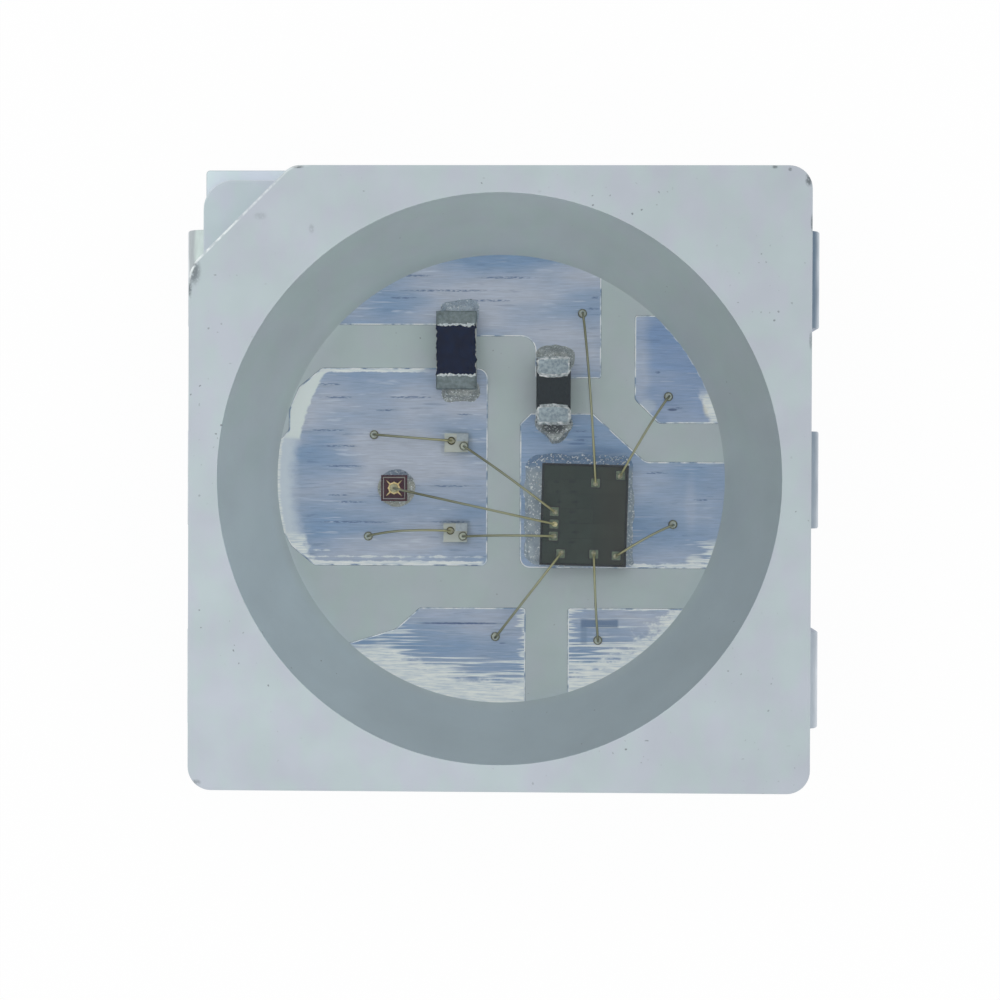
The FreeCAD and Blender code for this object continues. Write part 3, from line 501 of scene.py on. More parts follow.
def rolled_silver(name, look):
    """Silver plate on rolled copper strip, with fine streaks along X; its bluish tone, darker blots and
    streaks, pale glints and pale bands are painted reflections of the dark lens and the bright side.

    look holds the shares of pale and dark, and the bands and streaks where the photograph shows them.
    """
    skin = Skin(name)
    axes = {"x": skin.x, "y": skin.y}
    seed = look["seed"]
    tone = skin.grain((1.1, 0.35), seed)
    fine = skin.grain((0.14, 0.010), seed + 1, 3.0, 0.6)
    lines = skin.grain((0.20, 0.017), seed + 2, 1.0, 0.4)
    patches = skin.grain((0.40, 0.30), seed + 3, 1.0)
    wavy = skin.share((skin.grain((0.09, 0.07), seed + 4, 3.0, 0.6), 0.3, 0.7, -1.0, 1.0))
    comb = skin.share((skin.grain((0.60, 0.020), seed + 5, 1.5, 0.6), 0.35, 0.65, -1.0, 1.0))
    dash = skin.share((skin.grain((0.035, 0.008), seed + 6, 1.0), 0.40, 0.56))

    # painted reflection of the dark lens: a bluish tone, shifted by clouds
    shift = skin.add("Math", {0: tone, 1: look.get("pale", 0.0)}, operation="ADD")
    for point, reach, weight in look.get("clouds", ()):
        shift = skin.add("Math", {0: skin.near(point, reach), 1: weight, 2: shift}, operation="MULTIPLY_ADD")
    colour = skin.lay(look.get("deep", "#8BA6C6"), look.get("light", "#C1C8D6"), (shift, 0.32, 0.66))
    colour = skin.shade(colour, (fine, 0.30, 0.70, 0.90, 1.10))
    # painted glints along some streaks
    colour = skin.lay(colour, "#DCE3EC", (lines, 0.37, 0.29), (patches, 0.60, 0.40), look.get("glints", 0.45))

    # dark streaks: rolling marks, painted dark as reflections of the lens
    dark = skin.share((lines, 0.64, 0.70), (patches, 0.44, 0.58), look.get("streaks", 0.35), smooth=True)
    marked = 0.0
    for point, half in look.get("marks", ()):
        marked = skin.add("Math", {0: skin.near(point, (half, 0.012), 0.45), 1: marked}, operation="MAXIMUM")
    dark = skin.add("Math", {0: dark, 1: skin.share(marked, dash)}, operation="MAXIMUM")
    colour = skin.lay(colour, "#63799E", dark, 0.85)
    # blots: patches painted darker and paler as reflections, one as a shadow
    for point, reach, code, share in look.get("blots", ()):
        colour = skin.lay(colour, code, skin.near(point, reach, 0.5), (fine, 0.36, 0.50, 0.5, 1.0), share)

    flat = skin.add("CombineXYZ", {"X": skin.x, "Y": skin.y})
    radius = skin.add("VectorMath", {0: flat}, out="Value", operation="LENGTH")
    # painted reflection of the bright side: the white of the bands
    white = skin.lay("#D6E0E6", "#FBFDF8", (fine, 0.35, 0.60))
    for band in look.get("bands", ()):
        if band.line == "rim":
            away = skin.add("Math", {0: FLOOR_RADIUS, 1: radius}, operation="SUBTRACT")
        else:
            away = skin.add("Math", {0: axes[band.line], 1: band.at}, operation="SUBTRACT")
            away = skin.add("Math", {0: away}, operation="ABSOLUTE")
        edge = {0: comb if band.comb else wavy, 1: band.torn, 2: band.width}
        edge = skin.add("Math", edge, operation="MULTIPLY_ADD")
        inside = skin.add("Math", {0: edge, 1: away}, operation="SUBTRACT")
        cover = skin.share((inside, 0.0, band.soft), smooth=True)
        for axis, low, high, soft in band.where:
            for limit, past in ((low, soft), (high, -soft)):
                if limit is not None:
                    cover = skin.share(cover, (axes[axis], limit, limit + past), smooth=True)
        colour = skin.lay(colour, band.colour or white, cover, band.share)
    # boxes: rectangles painted darker as reflections
    for (low_x, high_x, low_y, high_y), code, share in look.get("boxes", ()):
        colour = skin.lay(colour, code, (skin.x, low_x, low_x + 0.02), (skin.x, high_x, high_x - 0.02),
                          (skin.y, low_y, low_y + 0.02), (skin.y, high_y, high_y - 0.02), share)
    bump = skin.add("Bump", {"Height": fine, "Strength": 0.15, "Distance": 0.0015 * MM})
    return skin.done({"Base Color": colour, "Metallic": 0.7, "Roughness": 0.45, "Normal": bump})


def stamped_edge(name, seed, stops):
    """Edge of the silver strip where the stamp cut it: a thin line whose tone changes along it, painted as
    highlight on the plate's rounded top edge and as shade in the gap below it.
    """
    skin = Skin(name)
    along = skin.grain((0.09, 0.09), seed, 2.0)
    return skin.done({"Base Color": skin.tones(along, stops), "Metallic": 0.3, "Roughness": 0.45})


def driver_silicon():
    """Silicon, polished and passivated: dark olive grey, with the faint outlines of circuit blocks.

    The circuit is far too fine to show, so a few coarse blocks and spots stand for it.
    """
    skin = Skin("passivated_silicon")
    blocks = {"Vector": skin.mm, "Scale": 1.0, "Mortar Size": 0.004, "Mortar Smooth": 0.8, "Bias": 0.0,
              "Brick Width": 0.19, "Row Height": 0.12, "Color1": linear("#2E3C37"),
              "Color2": linear("#35423B"), "Mortar": linear("#2B3434")}
    blocks = skin.add("TexBrick", blocks, offset=0.37, squash=0.7)
    colour = skin.shade(blocks, (skin.grain((0.12, 0.16, 0.1), 2.0, 2.0), 0.3, 0.7, 0.90, 1.12))
    colour = skin.lay(colour, "#3F3C34", (skin.x, 0.72, 0.90, 0.0, 0.45))
    for row in range(7):
        for x, half in ((0.455, 0.028), (0.585, 0.040)):
            spot = skin.near((x + 0.012 * (row % 3), -0.02 - 0.082 * row), (half, 0.016), 0.5)
            colour = skin.lay(colour, "#1D2830", spot, 0.5)
    return skin.done({"Base Color": colour, "Roughness": 0.35, "Specular IOR Level": 0.35})


def silver_paste(name, deep, light, dark="#5E6B75", dots=0.40, sparks=0.60, size=0.014, far=None, shade=None):
    """Epoxy filled with silver flakes, dispensed wet and cured: grey, speckled, with a wet sheen.

    The specks are drawn a little coarser than the flakes are, which would be too fine to show.
    far, a height along Y and a colour, tones the part beyond it: painted shade past the upper edge of the red
    chip and of the driver chip, a bluish tone on the resistor's upper joint; shade is a place, its reach and
    a colour, painted shadow where a chip's end throws it.
    """
    skin = Skin(name)
    speck = skin.grain(size, 3.0, 2.0, 0.7)
    colour = skin.lay(deep, light, (skin.grain(0.07, 4.0, 2.0), 0.35, 0.65))
    if far:
        colour = skin.lay(colour, far[1], (skin.y, far[0], far[0] + 0.06))
    if shade:
        colour = skin.lay(colour, shade[2], skin.near(*shade[:2], 0.4))
    colour = skin.lay(colour, dark, (speck, dots, dots - 0.08))
    # painted glints: white specks where the flakes catch the light
    colour = skin.lay(colour, "#F8FAFA", (speck, sparks, sparks + 0.05))
    bump = skin.add("Bump", {"Height": speck, "Strength": 0.6, "Distance": 0.003 * MM})
    return skin.done({"Base Color": colour, "Metallic": 0.2, "Roughness": 0.4, "Normal": bump})


def bent_strip(name, deep, near, shade, outer, bend, lift):
    """Silver-plated strip, bent in a press: dull, with painted reflections of what stands beside each row of
    leads.

    deep is the flank; from above, near is the zone beside the plastic, shade the bend from the place
    bend on, outer its far edge. lift is how far the lowest lead of the row is paler.
    """
    skin = Skin(name)
    fine = skin.grain((0.02, 0.10, 0.03), 3.0)
    slow = skin.share((skin.grain(0.30, 6.0, 1.0), 0.3, 0.7, -0.010, 0.010))
    upward = skin.add("SeparateXYZ", {0: skin.add("TexCoord", out="Normal")}, out="Z")
    out = skin.add("Math", {0: skin.x}, operation="ABSOLUTE")
    reach = skin.add("Math", {0: slow, 1: out}, operation="ADD")
    # painted reflections seen from above: beside the plastic, at the bend and at the far edge
    seen = skin.lay(near, shade, (reach, bend, bend + 0.025))
    seen = skin.lay(seen, outer, (reach, LEAD_FACE - 0.027, LEAD_FACE - 0.002))
    seen = skin.lay(seen, "#E0E6EB", (skin.y, PITCH, -PITCH, 0.0, lift))
    colour = skin.shade(skin.lay(deep, seen, (upward, 0.05, 0.30)), (fine, 0.3, 0.7, 0.95, 1.05))
    bump = skin.add("Bump", {"Height": fine, "Strength": 0.3, "Distance": 0.003 * MM})
    return skin.done({"Base Color": colour, "Metallic": 0.5, "Roughness": 0.45, "Normal": bump})


def sapphire_haze():
    """Sapphire with a patterned surface, seen through a clear chip: a faint milky cream."""
    look = {"Base Color": linear("#FDFFEC"), "Roughness": 0.4, "Alpha": 0.50}
    return Skin("patterned_sapphire_haze").done(look)


def drawn_gold():
    """Gold, drawn to wire: its colour along it is painted reflection, of the dark lens where it lies level
    and of the bright side where it dips.
    """
    skin = Skin("drawn_gold_wire")
    along = skin.add("Attribute", out="Fac", attribute_name="along")
    colour = skin.tones(along, ((0.0, "#A8A68C"), (1.0, "#B0A979"), (0.22, "#7E7F65"), (0.50, "#A2A48A"),
                                (0.72, "#B3B292")))
    return skin.done({"Base Color": colour, "Metallic": 0.9, "Roughness": 0.3})


# Body and resin

def draft_inset(z):
    return (z - FLOOR) * math.tan(math.radians(1.0))


def body_outline(inset):
    """Plan of the upper half with its cut corner, moved inwards by inset."""
    half_x, half_y = UPPER_HALF_X - inset, UPPER_HALF_Y - inset
    # a cut at 45 degrees gets shorter by about 0.586 of the inset
    cut = INDEX_CUT - 0.586 * inset
    corners = [(-half_x, -half_y), (half_x, -half_y), (half_x, half_y), (-half_x + cut, half_y),
               (-half_x, half_y - cut)]
    return rounded(corners, [0.20 - inset] * 3 + [0.17, 0.28], 10)


def ledge_outline(inset):
    """Plan below the cut corner, where a rounded shoulder stands back from the lower half."""
    half_x, half_y = UPPER_HALF_X - inset, UPPER_HALF_Y - inset
    back_x, back_y, start_x, start_y = -LEDGE_X + inset, LEDGE_Y - inset, -half_x + 0.76, half_y - 0.78
    corners = [(-half_x, -half_y), (half_x, -half_y), (half_x, half_y), (start_x, half_y),
               (start_x, back_y), (back_x, back_y), (back_x, start_y), (-half_x, start_y)]
    return rounded(corners, [0.20, 0.20, 0.20, 0.0, 0.0, 0.24, 0.0, 0.0], 10)


def lower_halves(z, inset=0.0):
    """Half sizes of the lower half at a height, with the draft of its flanks."""
    back = (FLOOR - z) * math.tan(math.radians(3.0)) + inset
    return LOWER_HALF_X - back, LOWER_HALF_Y - back


def lower_outline(z, inset=0.0):
    half_x, half_y = lower_halves(z, inset)
    return rounded(rectangle(-half_x, -half_y, half_x, half_y), 0.03, 4)


def well_outline(z):
    """Plan of the underside, whose wells for the feet are open at the flanks."""
    half_x, half_y = lower_halves(z)
    inner, gap = TOE - 0.03, LEAD_HALF + 0.03
    corners = []
    for side in (1, -1):
        corners += [(-side * half_x, -side * half_y), (side * half_x, -side * half_y)]
        out, back = side * half_x, side * inner
        for row in (-side, 0, side):
            start, end = row * PITCH - side * gap, row * PITCH + side * gap
            corners += [(out, start), (back, start), (back, end), (out, end)]
    return [Vector(c) for c in corners]


def cone_radius(z):
    return FLOOR_RADIUS + (MOUTH_RADIUS - FLOOR_RADIUS) * (z - FLOOR) / (TOP - FLOOR)


def mouth_stretch(z):
    """The mouth is very slightly oval, the reflector's foot is round."""
    share = (z - FLOOR) / (TOP - FLOOR)
    return tuple(1 + (s - 1) * share for s in MOUTH_STRETCH)


def ring_block(bm, outers, slot=0):
    """Block with a piece of the reflector's cone in it; outers are levels from low to high."""
    rings = [ring(bm, outline, z) for outline, z in outers]
    for low, high in zip(rings, rings[1:]):
        wall(bm, low, high, slot)
    hole = [ring(bm, circle(cone_radius(z), 192, stretch=mouth_stretch(z)), z)
            for z in (outers[0][1], outers[-1][1])]
    wall(bm, *hole, 1)
    fill_ring(bm, rings[0], hole[0], slot)
    fill_ring(bm, rings[-1], hole[1], slot)


def make_body(materials):
    """The moulding; materials are dry plastic, wetted plastic and the shoulder between the halves."""
    bm = bmesh.new()
    edge, soft = 0.03, 0.015
    levels = [(body_outline(draft_inset(LEDGE)), LEDGE)]
    for step in range(5):
        turn = math.radians(90 * step / 4)
        z = TOP - edge + edge * math.sin(turn)
        levels.append((body_outline(draft_inset(z) + edge * (1 - math.cos(turn))), z))
    ring_block(bm, levels)
    ring_block(bm, [(ledge_outline(0.0), FLOOR - 0.004), (ledge_outline(draft_inset(LEDGE)), LEDGE - soft),
                    (ledge_outline(draft_inset(LEDGE) + soft / 2), LEDGE)], 2)
    loft(bm, [(lower_outline(WELL_TOP), WELL_TOP), (lower_outline(FLOOR - 0.014), FLOOR - 0.014),
              (lower_outline(FLOOR - 0.002, 0.008), FLOOR - 0.002)], slots=[0, 0, 2])
    # the reflector's floor between the plates
    bm.faces.new(ring(bm, circle(FLOOR_RADIUS + 0.01, 96), FLOOR - 0.0018)).material_index = 1
    low, high = (ring(bm, well_outline(z), z) for z in (STANDOFF, WELL_TOP))
    wall(bm, low, high)
    bm.faces.new(high)
    # round gate mark in the underside
    rim, bottom = ring(bm, circle(0.35, 48), STANDOFF), ring(bm, circle(0.345, 48), STANDOFF + 0.05)
    wall(bm, rim, bottom)
    bm.faces.new(bottom)
    fill_ring(bm, low, rim)
    make_piece("body_moulding", bm, materials, 30.0, "white_moulding", "housing")


def make_resin(material):
    """Cast resin: its skin lies a hair inside the plastic and the plates, so no air shows between."""
    bm = bmesh.new()
    count, steps, hair = 160, 20, 0.004
    bend = (MOUTH_RADIUS ** 2 + MENISCUS ** 2) / (2 * MENISCUS)
    rings = []
    for i in range(steps, 0, -1):
        r = MOUTH_RADIUS * i / steps
        z = TOP - MENISCUS + bend - math.sqrt(bend ** 2 - r ** 2)
        out, sunk = (hair, 0.001) if i == steps else (0, 0)
        rings.append(ring(bm, circle(r + out, count, stretch=MOUTH_STRETCH), z - sunk))
    base = ring(bm, circle(FLOOR_RADIUS + hair, count), FLOOR - 0.006)
    bm.faces.new(list(reversed(base)))
    for outer, inner in zip([base] + rings, rings):
        wall(bm, outer, inner)
    centre = bm.verts.new((0, 0, TOP - MENISCUS))
    for pair in zip(rings[-1], rings[-1][1:] + rings[-1][:1]):
        bm.faces.new((*pair, centre))
    make_piece("resin_fill", bm, [material], 40.0, "clear_resin", "encapsulant")


# Leads

PLATES = {
    "upper_left": (-1, 1, [(-NECK, 1.25), (-0.36, 1.25), (-0.36, 1.158), (0.272, 1.158), (0.272, 0.816),
                           (0.825, 0.816), (0.825, 2.05), (-NECK, 2.05)],
                   [0, 0.02, 0.025, 0.11, 0.025, 0.03, 0.02, 0]),
    "middle_left": (-1, 0, [(-NECK, -0.42), (-1.80, -0.42), (-1.72, -0.56), (-1.53, -0.72), (-0.10, -0.72),
                            (-0.10, 0.912), (-1.47, 0.912), (-1.66, 0.755), (-1.745, 0.56), (-1.745, 0.40),
                            (-1.80, 0.33), (-NECK, 0.33)],
                    [0, 0.05, 0.10, 0.06, 0.06, 0.09, 0.06, 0.12, 0.10, 0.03, 0.03, 0]),
    "lower_left": (-1, -1, [(-NECK, -2.05), (0.215, -2.05), (0.215, -1.048), (-0.66, -1.048), (-0.86, -1.225),
                            (-1.02, -1.275), (-1.25, -1.345), (-NECK, -1.36)],
                   [0, 0, 0.03, 0.06, 0.08, 0.10, 0.10, 0]),
    "upper_right": (1, 1, [(NECK, 0.450), (1.285, 0.450), (1.085, 0.65), (1.085, 1.345), (NECK, 1.345)],
                    [0, 0.05, 0.06, 0.03, 0]),
    "middle_right": (1, 0, [(NECK, -0.735), (0.15, -0.735), (0.15, 0.455), (0.24, 0.545), (0.755, 0.545),
                            (1.185, 0.150), (NECK, 0.150)], [0, 0.09, 0.03, 0.03, 0.03, 0.10, 0]),
    "lower_right": (1, -1, [(NECK, -2.05), (0.545, -2.05), (0.545, -1.048), (NECK, -1.048)], [0, 0, 0.03, 0]),
}

# Painted reflections on each plate: clouds and boxes shift its bluish tone, marks are dark streaks, blots
# darker and paler patches, bands pale reflections of the bright wall
BY_WALL = ("x", None, -1.2, 0.08)
PLATE_LOOKS = {
    "upper_left": {
        "seed": 1.0, "pale": 0.02,
        "clouds": [((-0.95, 1.45), (0.5, 0.45), -0.30), ((-0.1, 1.50), (0.7, 0.25), 0.16),
                   ((0.0, 1.80), (0.9, 0.15), -0.14)],
        "marks": [((-0.808, 1.716), 0.144), ((-0.746, 1.66), 0.246), ((-0.807, 1.48), 0.144),
                  ((-0.46, 1.538), 0.452), ((-0.093, 1.457), 0.246), ((0.232, 1.865), 0.246),
                  ((0.049, 1.645), 0.308), ((0.77, 1.483), 0.049), ((0.75, 1.394), 0.07)],
        "bands": [Band("y", 1.25, 0.012, 0.0, 0.01, [("x", -1.35, -0.45, 0.1)], 0.8)],
    },
    "middle_left": {
        "seed": 11.0, "pale": 0.04,
        "clouds": [((-1.45, 0.1), (0.45, 0.9), -0.10), ((-0.85, 0.3), (0.5, 0.6), 0.12),
                   ((-0.2, 0.1), (0.25, 0.8), -0.06)],
        "marks": [((-1.418, 0.769), 0.144), ((-1.336, 0.663), 0.185), ((-0.293, 0.528), 0.082),
                  ((-1.417, 0.394), 0.185), ((-1.314, 0.264), 0.205), ((-1.285, 0.1), 0.218),
                  ((-0.414, -0.06), 0.205), ((-1.333, -0.137), 0.103), ((-1.231, -0.193), 0.164),
                  ((-1.21, -0.357), 0.39), ((-0.413, -0.353), 0.205), ((-0.743, 0.665), 0.246),
                  ((-0.947, 0.559), 0.123)],
        "bands": [Band("rim", 0, 0.158, 0.010, 0.02, [("y", 0.30, None, 0.04), BY_WALL], colour="#EEF5F1"),
                  Band("rim", 0, 0.190, 0.020, 0.13, [("y", -0.60, 0.36, 0.06), BY_WALL], 0.9,
                       colour="#DCE5EC"),
                  Band("rim", 0, 0.030, 0.008, 0.02, [("y", -0.50, 0.34, 0.05), BY_WALL]),
                  Band("rim", 0, 0.170, 0.030, 0.06, [("y", None, -0.42, 0.08), BY_WALL]),
                  Band("y", 0.885, 0.018, 0.008, 0.01, [("x", -1.60, -0.55, 0.15)]),
                  Band("y", -0.690, 0.020, 0.008, 0.01, [("x", -1.60, -0.12, 0.05)]),
                  Band("y", -0.640, 0.012, 0.010, 0.012, [("x", -1.60, -0.12, 0.05)], 0.8),
                  Band("y", -0.590, 0.008, 0.012, 0.012, [("x", -1.60, -1.30, 0.10)], 0.7)],
    },
    "lower_left": {
        "seed": 21.0, "pale": -0.07, "glints": 0.25,
        "marks": [((-0.33, -1.184), 0.43)],
        "blots": [((-0.33, -1.184), (0.43, 0.009), "#4F6490", 0.8),
                  ((0.02, -1.345), (0.035, 0.009), "#4F6490", 0.6)],
        "bands": [Band("rim", 0, 0.29, 0.20, 0.14, [("y", None, -1.34, 0.12)], comb=True),
                  Band("rim", 0, 0.22, 0.05, 0.12, [("y", None, -1.36, 0.08)]),
                  Band("y", -1.05, 0.010, 0.004, 0.01, [("x", -0.70, 0.10, 0.05)]),
                  Band("x", 0.215, 0.055, 0.060, 0.03, share=0.85, comb=True),
                  Band("x", -1.00, 0.26, 0.20, 0.20, share=0.75, comb=True)],
    },
    "upper_right": {
        "seed": 31.0, "streaks": 0.3, "pale": -0.10, "deep": "#88A3C9", "light": "#B4C0D4", "glints": 0.3,
        "clouds": [((1.13, 1.0), (0.13, 0.8), 0.30)],
        "marks": [((1.445, 0.582), 0.053), ((1.281, 0.874), 0.029)],
        "blots": [((1.692, 0.607), (0.055, 0.12), "#EAE9DC", 0.95),
                  ((1.20, 0.60), (0.09, 0.07), "#C9D3DC", 0.6),
                  ((1.40, 0.57), (0.05, 0.014), "#44597E", 0.8),
                  ((1.36, 0.66), (0.04, 0.05), "#6F88B0", 0.3)],
        "bands": [Band("rim", 0, 0.08, 0.02, 0.04, [("y", None, 0.78, 0.15)]),
                  Band("rim", 0, 0.006, 0.010, 0.008, share=0.7),
                  Band("y", 0.46, 0.014, 0.0, 0.01, [("x", 1.35, None, 0.1)])],
    },
    "middle_right": {
        "seed": 41.0, "streaks": 0.3, "pale": -0.02, "light": "#AFBDD2",
        "clouds": [((1.5, 0.05), (0.25, 0.12), -0.2), ((1.55, -0.2), (0.07, 0.4), 0.16),
                   ((0.5, 0.38), (0.45, 0.15), -0.14)],
        "marks": [((0.645, 0.392), 0.082), ((0.653, 0.319), 0.074), ((1.264, 0.053), 0.131),
                  ((1.631, -0.166), 0.09)],
        "blots": [((1.585, -0.655), (0.09, 0.05), "#EDF1EE", 0.7),
                  # painted shadow of the driver chip's upper edge
                  ((0.72, 0.20), (0.42, 0.09), "#6C87A8", 0.75),
                  ((0.62, 0.29), (0.10, 0.012), "#54709A", 0.7),
                  ((0.70, 0.345), (0.12, 0.010), "#54709A", 0.5)],
        "bands": [Band("rim", 0, 0.09, 0.10, 0.06, [("y", None, -0.46, 0.10), ("x", 1.0, None, 0.1)],
                       comb=True),
                  Band("y", -0.705, 0.022, 0.014, 0.012, [("x", 1.05, None, 0.03)]),
                  Band("y", 0.145, 0.010, 0.0, 0.01, [("x", 1.25, None, 0.05)], 0.8)],
    },
    "lower_right": {
        "seed": 51.0, "streaks": 0.3, "pale": -0.02,
        "boxes": [((0.650, 0.975, -1.225, -1.138), "#5F7A9C", 0.75),
                  ((0.650, 0.72, -1.36, -1.20), "#7890AE", 0.5)],
        "bands": [Band("rim", 0, 0.17, 0.12, 0.14, share=0.9),
                  Band("rim", 0, 0.045, 0.02, 0.03),
                  Band("y", -1.90, 0.54, 0.30, 0.18, share=0.9, comb=True),
                  Band("y", -1.06, 0.014, 0.006, 0.01),
                  Band("x", 0.545, 0.060, 0.090, 0.04, share=0.85, comb=True)],
    },
}


def make_lead(name, side, row, corners, radii, materials):
    """Plate, strip and foot of one lead; materials are plate, painted highlight on the edge, painted shade on
    the edge and strip.
    """
    bm = bmesh.new()
    outline = rounded(corners, radii, 6)
    if area_sign(outline) < 0:
        outline.reverse()
    # the plate's rounded top edge takes the painted highlight, the band below it the painted shade of the gap
    loft(bm, [(outline, FRAME_LOW), (outline, FLOOR - 0.005), (shrink(outline, 0.008), FLOOR - 0.0005),
              (shrink(outline, 0.018), FLOOR)], slots=[3, 2, 1, 0])
    # side view of neck, bend, flank and foot, as X outwards and Z
    root, inner, soft = NECK - 0.1, LEAD_FACE - METAL, 0.012
    corners = [(root, FRAME_LOW), (inner, FRAME_LOW), (inner, METAL), (TOE, METAL), (TOE, FOOT),
               (LEAD_FACE, FOOT), (LEAD_FACE, FLOOR), (root, FLOOR)]
    profile = rounded(corners, [0, 0.04, 0.04, 0.012, 0.012, 0.17, 0.17, 0], 10)
    edge = [(soft, LEAD_HALF), (soft * 0.4, LEAD_HALF - soft * 0.4), (0.0, LEAD_HALF - soft)]
    rings = []
    for inset, y in [(inset, -y) for inset, y in edge] + edge[::-1]:
        section = shrink(profile, inset)
        rings.append([bm.verts.new((side * p.x, row * PITCH + y, max(p.y, 0.0))) for p in section])
    for first, second in zip(rings, rings[1:]):
        wall(bm, first, second, 3)
    for end in (rings[0], rings[-1]):
        bm.faces.new(end).material_index = 3
    make_piece(f"{name}_strip", bm, materials, 35.0, "silver_plating", f"lead_{name}")


# Chips and chip parts

BOND_PADS = {"supply": (0.085, 0.263), "output": (0.285, 0.330), "green": (-0.242, 0.021),
             "red": (-0.242, -0.080), "blue": (-0.245, -0.178), "backup": (-0.181, -0.319),
             "input": (0.088, -0.315), "ground": (0.270, -0.323)}
ENDS = (("upper", 1), ("lower", -1))


def pad_place(pad):
    u, v = BOND_PADS[pad]
    c, s = math.cos(math.radians(DRIVER_TURN)), math.sin(math.radians(DRIVER_TURN))
    return DRIVER[0] + u * c - v * s, DRIVER[1] + u * s + v * c


def make_red_chip(materials, gold):
    """Red chip and its star electrode, a round land with four long fingers and four short ones."""
    bm = bmesh.new()
    mesa(bm, centred(0.212, 0.212, *RED), RED_TOP, (0.015, 0.023), [0, 0, 1, 0])
    make_piece("red_chip", bm, materials, 20.0, "red_chip", "red_die")
    bm = bmesh.new()
    points = []
    for i in range(96):
        angle = 2 * math.pi * i / 96
        finger = max(0.0, math.cos(4 * (angle - math.pi / 4))) ** 24
        minor = max(0.0, math.cos(4 * angle)) ** 14
        radius = 0.047 + 0.046 * finger + 0.007 * minor
        points.append(Vector((RED[0] + radius * math.cos(angle), RED[1] + radius * math.sin(angle))))
    block(bm, points, RED_TOP - 0.002, RED_TOP + FILM, 0.002)
    make_piece("red_star_electrode", bm, [gold], 40.0, "gold", "red_die_electrode")


def make_clear_chip(colour, place, glass, films):
    """Clear chip with two contacts; films are the contact's top and flank, oxide and haze."""
    x, y = place
    bm = bmesh.new()
    block(bm, centred(0.205, 0.165, x, y), FLOOR + 0.012, CLEAR_TOP, 0.004)
    make_piece(f"{colour}_chip", bm, [glass], 20.0, "clear_chip", f"{colour}_die")
    bm = bmesh.new()
    for dx, dy in ((-0.040, 0.016), (0.062, -0.028)):
        land = rounded(centred(0.058, 0.058, x + dx, y + dy), 0.020, 5)
        block(bm, land, CLEAR_TOP - 0.001, CLEAR_TOP + FILM, 0.002)
    # squashed ball that carries the stitch of the plate's wire: shares of its radius and height
    ball = ((0.85, 0.0), (1.0, 0.35), (0.92, 0.75), (0.66, 1.0))
    middle = (x - 0.040, y + 0.016)
    # the ball's flank takes the contact flank's painted shade
    loft(bm, [(circle(0.033 * wide, 24, middle), CLEAR_TOP + 0.012 * up) for wide, up in ball], [1, 1, 1, 0])
    for slot, spread in ((3, (0.192, 0.152, x, y)), (2, (0.095, 0.062, x + 0.050, y + 0.044))):
        outline = centred(*spread)
        loft(bm, [(outline, CLEAR_TOP - 0.001), (outline, CLEAR_TOP + 0.0004 * (4 - slot))],
             slots=[slot, slot], caps=(False, True))
    make_piece(f"{colour}_contact_films", bm, films, 30.0, "gold", f"{colour}_die_contacts")


def make_driver_chip(chip_materials, land_materials):
    bm = bmesh.new()
    outline = turned(centred(0.703, 0.828, *DRIVER), DRIVER_TURN, DRIVER)
    mesa(bm, outline, DRIVER_TOP, (0.012, 0.019), [1, 1, 1, 0])
    make_piece("driver_chip", bm, chip_materials, 20.0, "silicon", "driver_die")
    bm = bmesh.new()
    for place in map(pad_place, BOND_PADS):
        around = turned(centred(0.088, 0.088, *place), DRIVER_TURN, place)
        loft(bm, [(around, DRIVER_TOP - 0.002), (around, DRIVER_TOP + 0.0008)], slots=[1, 1])
        land = turned(rounded(centred(0.072, 0.072, *place), 0.006, 2), DRIVER_TURN, place)
        block(bm, land, DRIVER_TOP - 0.002, DRIVER_TOP + FILM, 0.003)
    make_piece("driver_bond_lands", bm, land_materials, 30.0, "pad_metal", "driver_bond_pads")


def across(x, half, first, second):
    """Rectangle across a chip part, between two places along it."""
    return rectangle(x - half, min(first, second), x + half, max(first, second))


def make_resistor(ceramic, coat, end_materials):
    x, y, width, length, low, high = RESISTOR
    wrap = 0.122
    bm = bmesh.new()
    block(bm, centred(width - 0.002, length - 0.024, x, y), low + 0.012, high, 0.004)
    make_piece("resistor_ceramic", bm, [ceramic], 30.0, "alumina", "resistor_body")
    bm = bmesh.new()
    plan = dense(rectangle(x - width / 2 + 0.001, y - length / 2 + wrap - 0.014, x + width / 2 - 0.006,
                           y + length / 2 - wrap + 0.014), 0.006)
    levels = [(0.0, high - 0.030), (0.0, high + 0.008), (0.004, high + 0.014), (0.010, high + 0.0155)]

    def tear_coat(outline):
        return ragged(ragged(outline, 0.012, 0.030, 1.0), 0.006, 0.011, 4.0)

    torn_stack(bm, plan, levels, tear_coat)
    make_piece("resistor_overcoat", bm, [coat], 50.0, "resistor_overcoat", "resistor_coat")
    for name, side in ENDS:
        bm = bmesh.new()
        tip, back = y + side * length / 2, y + side * (length / 2 - wrap)

        def tear(outline):
            rough = ragged(outline, 0.014, 0.022, 2.0 + side, lambda p: abs(p.y - back) < 0.014)
            return ragged(rough, 0.004, 0.040, 5.0 + side)

        levels = [(0.005, low), (0.0, low + 0.010), (0.0, high + 0.004), (0.003, high + 0.012),
                  (0.009, high + 0.018)]
        torn_stack(bm, dense(across(x, width / 2, tip, back), 0.006), levels, tear)
        # a ragged strip of painted highlight along the edge that meets the coat
        strip = dense(across(x, width / 2 - 0.01, back + side * 0.001, back + side * 0.018), 0.005)
        rough = ragged(ragged(strip, 0.015, 0.016, 8.0 + side), 0.007, 0.050, 3.0)
        loft(bm, [(rough, high + 0.012), (rough, high + 0.0205)], slots=[1, 1])
        make_piece(f"resistor_end_{name}", bm, end_materials, 50.0, "tin_plating",
                   f"resistor_terminal_{name}")


